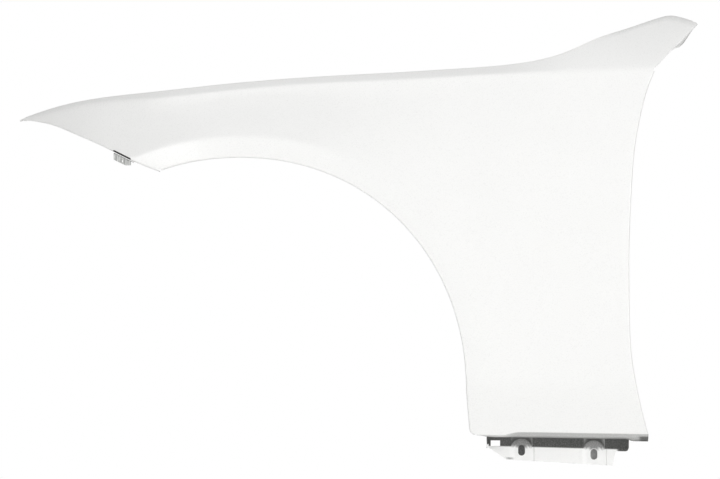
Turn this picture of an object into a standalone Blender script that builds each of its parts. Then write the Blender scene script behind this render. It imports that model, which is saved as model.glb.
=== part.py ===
"""Left front fender of a saloon car: one pressed steel panel and two small welded brackets.

While it is drawn, x runs rearward from the wheel centre, y inboard from the widest line of the
body side, and z up from the wheel centre. The empty that carries the pieces then puts a bolt pad
of the bonnet ledge at the origin. Lengths are in metres, and angles in radians.
"""

import math

import bmesh
import bpy
import numpy as np
from mathutils import Matrix, Vector

# The sheet and its folds
SHEET = 0.0008
EDGE_BEND = 0.0025
WELD_GAP = 0.0004

# Wheel arch, a squared circle round the wheel centre
ARCH_REACH = 0.362
ARCH_HEIGHT = 0.375
ARCH_SQUARENESS = 2.09
ARCH_FRONT = 0.131
ARCH_LEAN = 0.006
ARCH_CORNER = 0.009
LIP_WIDTH = 0.034
LIP_BLEND = 0.003

# Outline beyond the arch
NOSE_REACH = 0.352
NOSE_RISE = 0.0615
NOSE_BLUNT = 0.002
SHOULDER_RISE = 0.111
SHOULDER_BAND = 0.0115
DOOR_EDGE_REACH = 0.623
DOOR_FLARE = 0.0425
SILL_DROP = 0.071
SILL_FALL = 0.0045
WING_REACH = 0.734
WING_RISE = 0.071
WING_START = 0.400

# Body side
NOSE_SWEEP = 0.150
NOSE_SWEEP_START = 0.060
SWEEP_POWER = 2.3
NOSE_LEAD = 0.030
REAR_TURN_IN = 0.005
HOLLOW_DEPTH = 0.050
CREASE_INSET = 0.080
FLARE = 0.007
FLARE_SPREAD = 0.045
SILL_CREASE_HEIGHT = 0.011
SILL_TUCK = 0.14
TUCK_SOFTNESS = 0.006
BARREL = 0.008
BARREL_TOP = 0.200
BARREL_SPAN = 0.300
CREASE_SOFTNESS = 0.0008

# Band above the shoulder crease: its lean at the bonnet and at the wing, and its rounding
BONNET_LEAN = 1.15
WINDSCREEN_LEAN = 0.65
BAND_ROUNDING = 2.5

# Flanges of the panel
ARCH_FLANGE = 0.018
ARCH_FLANGE_END = 0.006
FRONT_FLANGE = 0.012
DOOR_FLANGE = 0.012
WING_FLANGE = 0.010
WING_SPLAY = math.radians(22)
WING_LENS = 0.38
SILL_FLANGE = 0.014
SILL_BEND = 0.008
SILL_SLOPE = math.radians(25)
PILLAR_TAB = 0.024
PILLAR_TAB_HEIGHT = 0.400
PILLAR_TAB_HALF = 0.020
PILLAR_HOLE = 0.0045

# Bonnet ledge with its bolt pads
LEDGE_DROP = 0.026
LEDGE_WIDTH = 0.012
LEDGE_MARGIN = 0.040
PAD_WIDTH = 0.028
PAD_HALF = 0.026
FIRST_PAD = -0.205
LAST_PAD = 0.415
PAD_COUNT = 4
PAD_HOLE = 0.0045
HANG_AHEAD = 0.014
WALL_START = -0.305
WING_WALL = 0.014
WING_WALL_END = 0.690

# Liner holes in the arch flange, by their angle above the wheel centre in degrees
LINER_HOLE = 0.0035
LINER_ANGLES = (14, 38, 62, 84, 102)

# Sill bracket
BRACKET_INSET = 0.030
BRACKET_LAP = 0.008
BRACKET_DEPTH = 0.038
BRACKET_FALL = 0.0155
BRACKET_SLOPE = 0.027
BRACKET_BEND = 0.004
BRACKET_FLAP = 0.014
FOOT_DROP = 0.0380
FOOT_SLOPE = 0.0565
FOOT_CHAMFER = 0.029
FOOT_LIP = 0.006
FOOT_STEP = 0.005
FOOT_MARGIN = 0.026
SLOT_PAD_INSETS = (0.053, 0.056)
SLOT_PAD_HALF = 0.021
SLOT_PAD_WALL = 0.002
SLOT_PAD_RECESS = 0.002
SLOT_NICHE_HALF = 0.016
SLOT_NICHE_RISE = 0.013
SLOT_RISE = 0.0165
SLOT_HALF_WIDTH = 0.0055
SLOT_HALF_HEIGHT = 0.0085
WINDOW_LENGTH = 0.016
WINDOW_HEIGHT = 0.008
WINDOW_INSET = 0.006
WINDOW_DROP = 0.004

# Bumper bracket
TAB_FROM_ARCH = 0.0585
TAB_LENGTH = 0.036
TAB_SETBACK = 0.002
TAB_DROP = 0.0105
TAB_BEND = 0.002
TAB_CORNER = 0.5
TAB_HOLE = 0.0030

# Fineness of the net
NET_PITCH = 0.020
SIDE_ROWS = 8
SHOULDER_ROWS = 4
BEND_STEPS = 3
BRACKET_PITCH = 0.006

WHITE_PAINT = (0.80, 0.80, 0.78, 1)
GREY_PRIMER = (0.42, 0.42, 0.42, 1)

SIDEWAYS = np.array([0.0, 1.0, 0.0])
UPWARD = np.array([0.0, 0.0, 1.0])
REARWARD = np.array([1.0, 0.0, 0.0])

PAD_PLACES = np.linspace(FIRST_PAD, LAST_PAD, PAD_COUNT)
LEDGE_START = FIRST_PAD - LEDGE_MARGIN
LEDGE_END = LAST_PAD + 2 * LEDGE_MARGIN
SKIN_BOTTOM = -SILL_DROP + SILL_BEND * math.cos(SILL_SLOPE)
BRACKET_START = ARCH_REACH + ARCH_LEAN + BRACKET_INSET
BRACKET_END = DOOR_EDGE_REACH
FOOT_END = BRACKET_END - FOOT_MARGIN
SLOT_PLACES = (BRACKET_START + SLOT_PAD_INSETS[0], BRACKET_END - SLOT_PAD_INSETS[1])


# Lines and small formulas


def smooth_line(stations):
    """A natural cubic through (place, value) stations: its slope and curvature never jump."""
    place, value = np.array(stations, float).T
    gap = np.diff(place)
    slope = np.diff(value) / gap
    count = len(place)
    system, load = np.eye(count), np.zeros(count)
    for i in range(1, count - 1):
        system[i, i - 1 : i + 2] = gap[i - 1], 2 * (gap[i - 1] + gap[i]), gap[i]
        load[i] = 6 * (slope[i] - slope[i - 1])
    bend = np.linalg.solve(system, load)

    def at(where):
        i = np.clip(np.searchsorted(place, where) - 1, 0, count - 2)
        left = (place[i + 1] - where) / gap[i]
        right = 1 - left
        straight = left * value[i] + right * value[i + 1]
        curved = (left**3 - left) * bend[i] + (right**3 - right) * bend[i + 1]
        return straight + curved * gap[i] ** 2 / 6

    return at


def ease(value, start, end):
    """Rises smoothly from 0 at start to 1 at end."""
    share = np.clip((value - start) / (end - start), 0, 1)
    return share * share * (3 - 2 * share)


def soft_ramp(value, width):
    """Zero for negative values and the value itself for positive ones, rounded over the width."""
    return width * np.logaddexp(0, value / width)


def unit(vectors):
    return vectors / np.linalg.norm(vectors, axis=-1, keepdims=True)


def dot(a, b):
    return (a * b).sum(axis=-1, keepdims=True)


def filled(low, high, breaks, pitch):
    """Places from low to high, about a pitch apart, with every break between them among the places."""
    inside = sorted(b for b in breaks if low + pitch / 8 < b < high - pitch / 8)
    ends = [low, *inside, high]
    runs = [
        np.linspace(a, b, math.ceil((b - a) / pitch - 1e-6) + 1)[:-1] for a, b in zip(ends, ends[1:])
    ]
    return np.concatenate([*runs, [high]])


# Lines of the panel: (place, value) stations from the nose to the wing, or from the sill upward

shoulder_rise = smooth_line([
    (-NOSE_REACH, NOSE_RISE),
    (-0.88 * NOSE_REACH, 0.649 * SHOULDER_RISE),
    (-0.7 * NOSE_REACH, 0.775 * SHOULDER_RISE),
    (-0.4 * NOSE_REACH, 0.86 * SHOULDER_RISE),
    (0, 0.986 * SHOULDER_RISE),
    (0.14 * WING_REACH, 1.063 * SHOULDER_RISE),
    (0.36 * WING_REACH, 1.133 * SHOULDER_RISE),
    (0.58 * WING_REACH, 1.216 * SHOULDER_RISE),
    (0.81 * WING_REACH, 1.279 * SHOULDER_RISE),
    (1.05 * WING_REACH, 1.342 * SHOULDER_RISE),
])
band_share = smooth_line([
    (-NOSE_REACH, NOSE_BLUNT / SHOULDER_BAND),
    (-0.88 * NOSE_REACH, 0.52),
    (-0.7 * NOSE_REACH, 0.60),
    (-0.37 * NOSE_REACH, 0.92),
    (0.09 * WING_REACH, 0.94),
    (0.35 * WING_REACH, 1.04),
    (0.7 * WING_REACH, 1.08),
    (WING_REACH, 1.08),
])
wing_share = smooth_line([
    (0.5 * WING_REACH, 0),
    (0.589 * WING_REACH, 0.025),
    (0.654 * WING_REACH, 0.100),
    (0.719 * WING_REACH, 0.274),
    (0.785 * WING_REACH, 0.550),
    (0.850 * WING_REACH, 0.745),
    (0.924 * WING_REACH, 0.970),
    (0.937 * WING_REACH, 0.992),
    (0.950 * WING_REACH, 0.978),
    (0.977 * WING_REACH, 0.890),
    (WING_REACH, 0.800),
])
front_fall = smooth_line([
    (0, 0),
    (0.10, 0.002),
    (0.217, 0.046),
    (0.333, 0.165),
    (0.449, 0.305),
    (0.565, 0.445),
    (0.65, 0.560),
    (0.85, 0.832),
    (1, 1),
])
door_edge_share = smooth_line([
    (0, 0.73),
    (0.058, 0.522),
    (0.14, 0.270),
    (0.22, 0.092),
    (0.34, 0.014),
    (0.5, 0),
    (0.67, 0.09),
    (0.79, 0.224),
    (0.87, 0.424),
    (0.95, 0.718),
    (1, 1),
])
hollow_share = smooth_line([
    (-NOSE_REACH, 0.625),
    (-0.37 * NOSE_REACH, 0.825),
    (0, 1),
    (0.20 * WING_REACH, 0.775),
    (0.41 * WING_REACH, 0.488),
    (0.61 * WING_REACH, 0.375),
    (0.82 * WING_REACH, 0.312),
    (1.05 * WING_REACH, 0.275),
])


def shoulder_height(x):
    """Height of the shoulder crease, which runs from the nose to the door edge."""
    return ARCH_HEIGHT + shoulder_rise(x)


def top_height(x):
    """Height of the bonnet edge and, behind it, of the wing beside the windscreen."""
    wing = WING_RISE * wing_share(np.maximum(x, 0.5 * WING_REACH))
    return shoulder_height(x) + SHOULDER_BAND * band_share(x) + wing


def arch_radius(angle):
    """Distance of the arch edge from the wheel centre in a direction."""
    across = np.abs(np.cos(angle) / ARCH_REACH) ** ARCH_SQUARENESS
    upright = np.abs(np.sin(angle) / ARCH_HEIGHT) ** ARCH_SQUARENESS
    return (across + upright) ** (-1 / ARCH_SQUARENESS)


def arch_height(x, growth=0.0):
    """Height of the arch edge at x, or of a line that lies outside it by the growth."""
    share = np.clip(np.abs(x) / (ARCH_REACH + growth), 0, 1) ** ARCH_SQUARENESS
    return (ARCH_HEIGHT + growth) * (1 - share) ** (1 / ARCH_SQUARENESS)


def arch_foot(z):
    """How far the arch edge leans rearward below the wheel centre."""
    return ARCH_LEAN * np.clip(-z / SILL_DROP, 0, None)


def door_edge(z):
    """Place of the door edge at a height: waisted, and flaring to the wing and to the sill."""
    top = shoulder_height(DOOR_EDGE_REACH)
    return DOOR_EDGE_REACH + DOOR_FLARE * door_edge_share((z + SILL_DROP) / (top + SILL_DROP))


def front_edge(share):
    """The lower edge of the nose as (x, z) places, from the tip back to the arch."""
    start = ARCH_HEIGHT + NOSE_RISE - NOSE_BLUNT
    end = arch_height(-ARCH_FRONT) + EDGE_BEND
    x = -NOSE_REACH + share * (NOSE_REACH - ARCH_FRONT)
    return np.stack([x, start + (end - start) * front_fall(share)], axis=-1)


# The outer surface


def side_depth(x, z):
    """How far inboard the body side lies: swept in at the nose and hollowed under the shoulder."""
    sweep = np.clip(NOSE_SWEEP_START - x, 0, None) / (NOSE_SWEEP_START + NOSE_REACH)
    plan = NOSE_SWEEP * sweep**SWEEP_POWER + REAR_TURN_IN * (np.clip(x, 0, None) / WING_REACH) ** 2
    lead = NOSE_LEAD * (1 - ease(x, -0.75 * NOSE_REACH, -0.3 * NOSE_REACH))
    fall = (np.clip(shoulder_height(x) - z, 0, None) + lead) / HOLLOW_DEPTH
    lip_fall = (shoulder_height(x) - arch_height(x, LIP_WIDTH) + lead) / HOLLOW_DEPTH
    hollow = (fall + 1) * np.exp(-fall) - (lip_fall + 1) * np.exp(-lip_fall)
    tuck = SILL_TUCK * soft_ramp(SILL_CREASE_HEIGHT - z, TUCK_SOFTNESS)
    barrel = BARREL * (np.clip(BARREL_TOP - z, 0, None) / BARREL_SPAN) ** SWEEP_POWER
    return plan + CREASE_INSET * hollow_share(x) * hollow + tuck + barrel


def flared_depth(x, z):
    """The body side with its arch lip, a flat band that the side folds into at the flare crease."""
    above = z > 0
    angle = np.where(above, np.arctan2(np.maximum(z, 0), x), 0)
    radius = np.where(above, np.hypot(x, z), x - arch_foot(z))
    crease = arch_radius(angle) + LIP_WIDTH
    spread = crease + soft_ramp(radius - crease, LIP_BLEND) - radius
    out_x = x + spread * np.cos(angle)
    out_z = z + spread * np.sin(angle)
    rearward = 1 - ease(angle, math.radians(35), math.radians(85))
    flare = FLARE * rearward * np.exp(-(radius + spread - crease) / FLARE_SPREAD)
    return side_depth(out_x, out_z) - flare


def shoulder_depth(x, z):
    """The band above the shoulder crease, which leans in towards the bonnet and the windscreen."""
    rise = z - shoulder_height(x)
    on_wing = ease(x, 0.55 * WING_REACH, 0.75 * WING_REACH)
    lean = BONNET_LEAN + (WINDSCREEN_LEAN - BONNET_LEAN) * on_wing
    rounding = BAND_ROUNDING * np.clip(rise, 0, None) ** 2
    return side_depth(x, shoulder_height(x)) + lean * rise + rounding


def skin_depth(x, z):
    """Depth of the outer surface: side or shoulder, whichever lies further in, and a soft crease."""
    side = flared_depth(x, z)
    return side + soft_ramp(shoulder_depth(x, z) - side, CREASE_SOFTNESS)


def on_skin(places):
    """Lifts (x, z) places to points of the outer surface."""
    x, z = places[..., 0], places[..., 1]
    return np.stack([x, skin_depth(x, z), z], axis=-1)


def inboard_normal(points):
    """The direction square to the outer surface, pointing into the car."""
    x, z, step = points[..., 0], points[..., 2], 0.0005
    slope_x = (skin_depth(x + step, z) - skin_depth(x - step, z)) / (2 * step)
    slope_z = (skin_depth(x, z + step) - skin_depth(x, z - step)) / (2 * step)
    return unit(np.stack([-slope_x, np.ones_like(x), -slope_z], axis=-1))


# The net of the panel: spokes from the arch out to the other edges


def shoulder_place(angle):
    """Where the spoke at an angle meets the shoulder crease."""
    x = 0.0
    for _ in range(30):
        x = float(shoulder_height(x)) / math.tan(angle)
    return x


def crease_end():
    """Where the shoulder crease meets the door edge, as x and z."""
    x = DOOR_EDGE_REACH
    for _ in range(20):
        x = float(door_edge(shoulder_height(x))) - EDGE_BEND
    return x, float(shoulder_height(x))


def side_edges():
    """Both ends of every spoke as (x, z) places, and how many spokes the nose and shoulder have."""
    corner = front_edge(1.0)
    corner_x = shoulder_place(math.atan2(corner[1], corner[0]))
    top_x, top_z = crease_end()

    breaks = [LEDGE_START, LEDGE_END, *(PAD_PLACES - PAD_HALF), *(PAD_PLACES + PAD_HALF)]
    nose_x = filled(-NOSE_REACH, corner_x, breaks, NET_PITCH)[:-1]
    over_x = filled(corner_x, top_x, breaks, NET_PITCH)[:-1]
    front = front_edge((nose_x + NOSE_REACH) / (corner_x + NOSE_REACH))
    crease = np.concatenate([nose_x, over_x])
    crease = np.stack([crease, shoulder_height(crease)], axis=-1)

    tab = [PILLAR_TAB_HEIGHT - PILLAR_TAB_HALF, PILLAR_TAB_HEIGHT + PILLAR_TAB_HALF]
    quarter = np.linspace(0, math.pi / 2, BEND_STEPS + 1)
    corner_z = SKIN_BOTTOM + ARCH_CORNER * (1 - np.sin(quarter[::-1]))
    level = np.concatenate([corner_z[:-1], filled(corner_z[-1], top_z, tab, NET_PITCH)])[::-1]
    rear_z = np.where(level < 0, level * (1 - SILL_FALL / SKIN_BOTTOM), level)
    rear = np.stack([door_edge(rear_z) - EDGE_BEND, rear_z], axis=-1)
    rear[0] = top_x, top_z

    outer = np.concatenate([crease[len(nose_x) :], rear])
    level = np.concatenate([crease[len(nose_x) :, 1], level])
    angle = np.arctan2(np.maximum(outer[:, 1], 0), outer[:, 0])
    radius = arch_radius(angle) + EDGE_BEND
    arch = np.stack([radius * np.cos(angle), radius * np.sin(angle)], axis=-1)
    arch[level < 0, 1] = level[level < 0]
    arch[:, 0] += arch_foot(arch[:, 1])
    below = np.clip(SKIN_BOTTOM + ARCH_CORNER - arch[:, 1], 0, ARCH_CORNER)
    arch[:, 0] += ARCH_CORNER - np.sqrt(ARCH_CORNER**2 - below**2)

    inner = np.concatenate([front, arch])
    outer = np.concatenate([crease[: len(nose_x)], outer])
    return inner, outer, len(nose_x), len(crease) + 1


def side_net():
    """Places of the body side, spokes by rows, with close rows where the lip folds."""
    inner, outer, nose_count, crease_count = side_edges()
    length = np.linalg.norm(outer - inner, axis=1)[:, None]
    angle = np.arctan2(np.maximum(inner[:, 1], 0), inner[:, 0])
    start = np.where(inner[:, 1] > 0, np.hypot(*inner.T), inner[:, 0])
    lip = np.clip(arch_radius(angle) + LIP_WIDTH - start, 0.2 * LIP_WIDTH, LIP_WIDTH)
    lip = np.minimum(lip[:, None], length / 3)
    lip_rows = lip * np.array([0, 0.45, 0.85, 1.0, 1.15])
    last = lip_rows[:, -1:]
    rest = last + (length - last) * np.linspace(0, 1, SIDE_ROWS + 1)[1:]
    share = (np.concatenate([lip_rows, rest], axis=1) / length)[..., None]
    return inner[:, None] + (outer - inner)[:, None] * share, nose_count, crease_count


def shoulder_net(crease):
    """Places between the shoulder crease and the top edge, which leans back into the wing."""
    ramp = np.clip((crease[:, 0] - WING_START) / (crease[-1, 0] - WING_START), 0, 1)
    top_x = crease[:, 0] + (WING_REACH - EDGE_BEND - crease[-1, 0]) * ramp**1.6
    top = np.stack([top_x, top_height(top_x) - EDGE_BEND / 4], axis=-1)
    share = np.linspace(0, 1, SHOULDER_ROWS + 1)[:, None]
    return crease[:, None] + (top - crease)[:, None] * share


# Folds and flanges


def edge_outward(edge, away):
    """At each point of an edge, the direction that leaves the panel in its own surface."""
    along = unit(np.gradient(edge, axis=0))
    outward = unit(np.cross(along, inboard_normal(edge)))
    return outward * np.sign(dot(outward, away)), along


def bend_rows(edge, outward, run, radius):
    """Rows round a fold that leaves the edge along outward and ends along run."""
    turn = np.arccos(np.clip(dot(outward, run), -1, 1))[:, None]
    inward = unit(run - dot(run, outward) * outward)[:, None]
    angle = np.linspace(0, 1, BEND_STEPS + 1)[:, None] * turn
    radius = np.broadcast_to(radius, len(edge))[:, None, None]
    return edge[:, None] + radius * (np.sin(angle) * outward[:, None] + (1 - np.cos(angle)) * inward)


def flange(edge, away, run, width, radius=EDGE_BEND):
    """A flange folded along an edge towards run, with one width or a width at each point."""
    outward, along = edge_outward(edge, away)
    run = unit(run - dot(along, run) * along)
    bend = bend_rows(edge, outward, run, radius)
    width = np.broadcast_to(width, len(edge))[:, None]
    end = bend[:, -1] + run * width
    return np.concatenate([bend, end[:, None]], axis=1)


def top_bend(edge):
    """The top edge rolled over until it points straight down."""
    outward, _ = edge_outward(edge, UPWARD)
    return bend_rows(edge, outward, np.broadcast_to(-UPWARD, edge.shape), EDGE_BEND)


def ledge_height(x):
    """Height of the bonnet ledge: level at each pad, with straight slopes between them."""
    ends = np.stack([PAD_PLACES - PAD_HALF, PAD_PLACES + PAD_HALF], axis=-1).ravel()
    return np.interp(x, ends, np.repeat(top_height(PAD_PLACES) - LEDGE_DROP, 2))


def ledge_width(x):
    """Width of the bonnet ledge, which is wider at each bolt pad."""
    distance = np.min([np.abs(x - place) for place in PAD_PLACES], axis=0)
    return PAD_WIDTH + (LEDGE_WIDTH - PAD_WIDTH) * ease(distance, PAD_HALF, PAD_HALF + LEDGE_WIDTH)


def bonnet_ledge(foot):
    """The gutter wall down from the rolled edge, and the ledge that is bolted to the inner rail."""
    level = ledge_height(foot[:, 0])
    inner_edge = foot[:, 1] + EDGE_BEND + ledge_width(foot[:, 0])
    wall = np.stack([foot[:, 0], foot[:, 1], level + EDGE_BEND], axis=-1)
    corner = np.stack([foot[:, 0], foot[:, 1] + EDGE_BEND, level], axis=-1)
    end = np.stack([foot[:, 0], inner_edge, level], axis=-1)
    return np.stack([foot, wall, corner, end], axis=1)


def pad_middle(place):
    """The middle of a bolt pad's upper face."""
    x = place + np.array([-0.001, 0, 0.001])
    edge = on_skin(np.stack([x, top_height(x) - EDGE_BEND / 4], axis=-1))
    rows = bonnet_ledge(top_bend(edge)[:, -1])
    return (rows[1, -2] + rows[1, -1]) / 2


# Meshes


def add_net(bm, points):
    """Adds a net of four-sided faces through the points, rows by columns."""
    rows, columns = points.shape[:2]
    verts = [[bm.verts.new(point) for point in row] for row in points]
    for i in range(rows - 1):
        for j in range(columns - 1):
            bm.faces.new((verts[i][j], verts[i + 1][j], verts[i + 1][j + 1], verts[i][j + 1]))


def sheet_object(name, nets, outside, material, collection):
    """Joins nets along their shared edges into one open sheet, and gives it its thickness."""
    bm = bmesh.new()
    for net in nets:
        add_net(bm, net)
    bmesh.ops.remove_doubles(bm, verts=bm.verts, dist=1e-6)
    bmesh.ops.recalc_face_normals(bm, faces=bm.faces)
    bm.faces.ensure_lookup_table()
    if bm.faces[0].normal.dot(Vector(outside)) < 0:
        bmesh.ops.reverse_faces(bm, faces=bm.faces)
    piece = new_object(name, bm, collection)
    piece.data.materials.append(material)
    piece.data.shade_smooth()
    thickness = piece.modifiers.new("sheet thickness", "SOLIDIFY")
    thickness.thickness = SHEET
    thickness.offset = -1
    thickness.use_even_offset = True
    return piece


def new_object(name, bm, collection):
    mesh = bpy.data.meshes.new(name)
    bm.to_mesh(mesh)
    bm.free()
    piece = bpy.data.objects.new(name, mesh)
    collection.objects.link(piece)
    return piece


def add_slot_cutter(bm, centre, axis, radius, depth, stretch=0.0):
    """A round cutter along an axis, or one that is stretched up and down into a slot."""
    turn = Vector(axis).to_track_quat("Z", "Y").to_matrix().to_4x4()
    made = bmesh.ops.create_cone(
        bm, cap_ends=True, segments=16, radius1=radius, radius2=radius, depth=depth, matrix=turn
    )
    for vert in made["verts"]:
        vert.co.z += math.copysign(stretch, vert.co.z)
        vert.co += Vector(centre)


def add_box_cutter(bm, low, high):
    size = Matrix.Diagonal((*(high - low), 1))
    place = Matrix.Translation((low + high) / 2)
    bmesh.ops.create_cube(bm, size=1, matrix=place @ size)


def cut(piece, bm, collection):
    """Cuts the shapes of a mesh out of a piece."""
    cutter = new_object(piece.name + "_cutter", bm, collection)
    cutter.hide_render = True
    cutter.display_type = "WIRE"
    hole = piece.modifiers.new("holes", "BOOLEAN")
    hole.operation = "DIFFERENCE"
    hole.object = cutter
    return cutter


def paint(name, colour, roughness):
    material = bpy.data.materials.new(name)
    material.use_nodes = True
    shader = material.node_tree.nodes["Principled BSDF"]
    shader.inputs["Base Color"].default_value = colour
    shader.inputs["Roughness"].default_value = roughness
    return material


# Pieces


def fender_panel(parts, cutters):
    """The pressing: body side, shoulder and wing, with a flange along every edge."""
    places, nose_count, crease_count = side_net()
    side = on_skin(places)
    shoulder = on_skin(shoulder_net(places[:crease_count, -1]))
    nets = [side, shoulder]

    front = side[: nose_count + 1, 0]
    nets.append(flange(front, -UPWARD, SIDEWAYS, FRONT_FLANGE))

    arch = side[nose_count + 1 : -1, 0]
    to_centre = -arch * [1, 0, 1]
    to_centre[arch[:, 2] < 0] = -REARWARD
    above_corner = ease(arch[:, 2], SKIN_BOTTOM + ARCH_CORNER, SKIN_BOTTOM + 4 * ARCH_CORNER)
    arch_width = ARCH_FLANGE_END + (ARCH_FLANGE - ARCH_FLANGE_END) * above_corner
    nets.append(flange(arch, to_centre, SIDEWAYS, arch_width))

    sill = side[-1]
    slope = math.cos(SILL_SLOPE) * SIDEWAYS - math.sin(SILL_SLOPE) * UPWARD
    nets.append(flange(sill, -UPWARD, slope, SILL_FLANGE, SILL_BEND))

    door = side[crease_count:-1, -1]
    from_tab = np.abs(door[:, 2] - PILLAR_TAB_HEIGHT)
    on_tab = 1 - ease(from_tab, PILLAR_TAB_HALF, PILLAR_TAB_HALF + DOOR_FLANGE)
    nets.append(flange(door, REARWARD, SIDEWAYS, DOOR_FLANGE + PILLAR_TAB * on_tab))

    wing = shoulder[-1, 1:]
    way = np.linspace(0, 1, SHOULDER_ROWS + 1)[1:]
    lens = np.sin(math.pi * np.clip((way - WING_LENS) / (1 - WING_LENS), 0, 1) ** 0.75)
    wing_bend = EDGE_BEND * (0.4 + 0.6 * ease(way, WING_LENS, 1.3 * WING_LENS))
    rear_down = (REARWARD - UPWARD) / math.sqrt(2)
    splayed = math.cos(WING_SPLAY) * SIDEWAYS + math.sin(WING_SPLAY) * rear_down
    nets.append(flange(wing, rear_down, splayed, WING_FLANGE * lens, wing_bend))

    roll = top_bend(shoulder[1:-1, -1])
    foot = roll[:, -1]
    on_ledge = (foot[:, 0] > LEDGE_START - 1e-6) & (foot[:, 0] < LEDGE_END + 1e-6)
    nets += [roll, bonnet_ledge(foot[on_ledge])]
    ledge_x = foot[on_ledge, 0]
    for low, high in ((WALL_START, ledge_x[0]), (ledge_x[-1], WING_WALL_END)):
        wall = foot[(foot[:, 0] > low) & (foot[:, 0] < high)]
        wall = wall[:-1] if high == ledge_x[0] else wall[1:]
        nets.append(np.stack([wall, wall - WING_WALL * UPWARD], axis=1))

    material = paint("body_paint", WHITE_PAINT, 0.3)
    panel = sheet_object("fender_panel", nets, -SIDEWAYS, material, parts)

    bm = bmesh.new()
    for place in PAD_PLACES:
        add_slot_cutter(bm, pad_middle(place), UPWARD, PAD_HOLE, 8 * SHEET)
    for degrees in LINER_ANGLES:
        angle = math.radians(degrees)
        spoke = np.array([math.cos(angle), 0, math.sin(angle)])
        centre = on_skin(spoke[[0, 2]] * (arch_radius(angle) + EDGE_BEND))
        centre += SIDEWAYS * (EDGE_BEND + ARCH_FLANGE / 2)
        add_slot_cutter(bm, centre, spoke, LINER_HOLE, 16 * SHEET)
    edge = on_skin(np.array([float(door_edge(PILLAR_TAB_HEIGHT)) - EDGE_BEND, PILLAR_TAB_HEIGHT]))
    centre = edge + SIDEWAYS * (EDGE_BEND + DOOR_FLANGE + PILLAR_TAB / 2)
    add_slot_cutter(bm, centre, REARWARD, PILLAR_HOLE, 16 * SHEET)
    return [panel, cut(panel, bm, cutters)]


def corner_height(x):
    """The height at which the sill bracket's return would meet its foot without a bend."""
    return -SILL_DROP - BRACKET_FALL - BRACKET_SLOPE * (x - BRACKET_START)


def foot_bottom(x):
    """The lower edge of the foot: cut off slantwise at the front, and stepped up at the rear."""
    full = -SILL_DROP - FOOT_DROP - FOOT_SLOPE * (x - BRACKET_START - FOOT_CHAMFER)
    short = corner_height(x) - FOOT_LIP
    from_front = (x - BRACKET_START) / FOOT_CHAMFER
    from_rear = (FOOT_END + FOOT_STEP - x) / FOOT_STEP
    return short + (full - short) * np.clip(np.minimum(from_front, from_rear), 0, 1)


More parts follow.
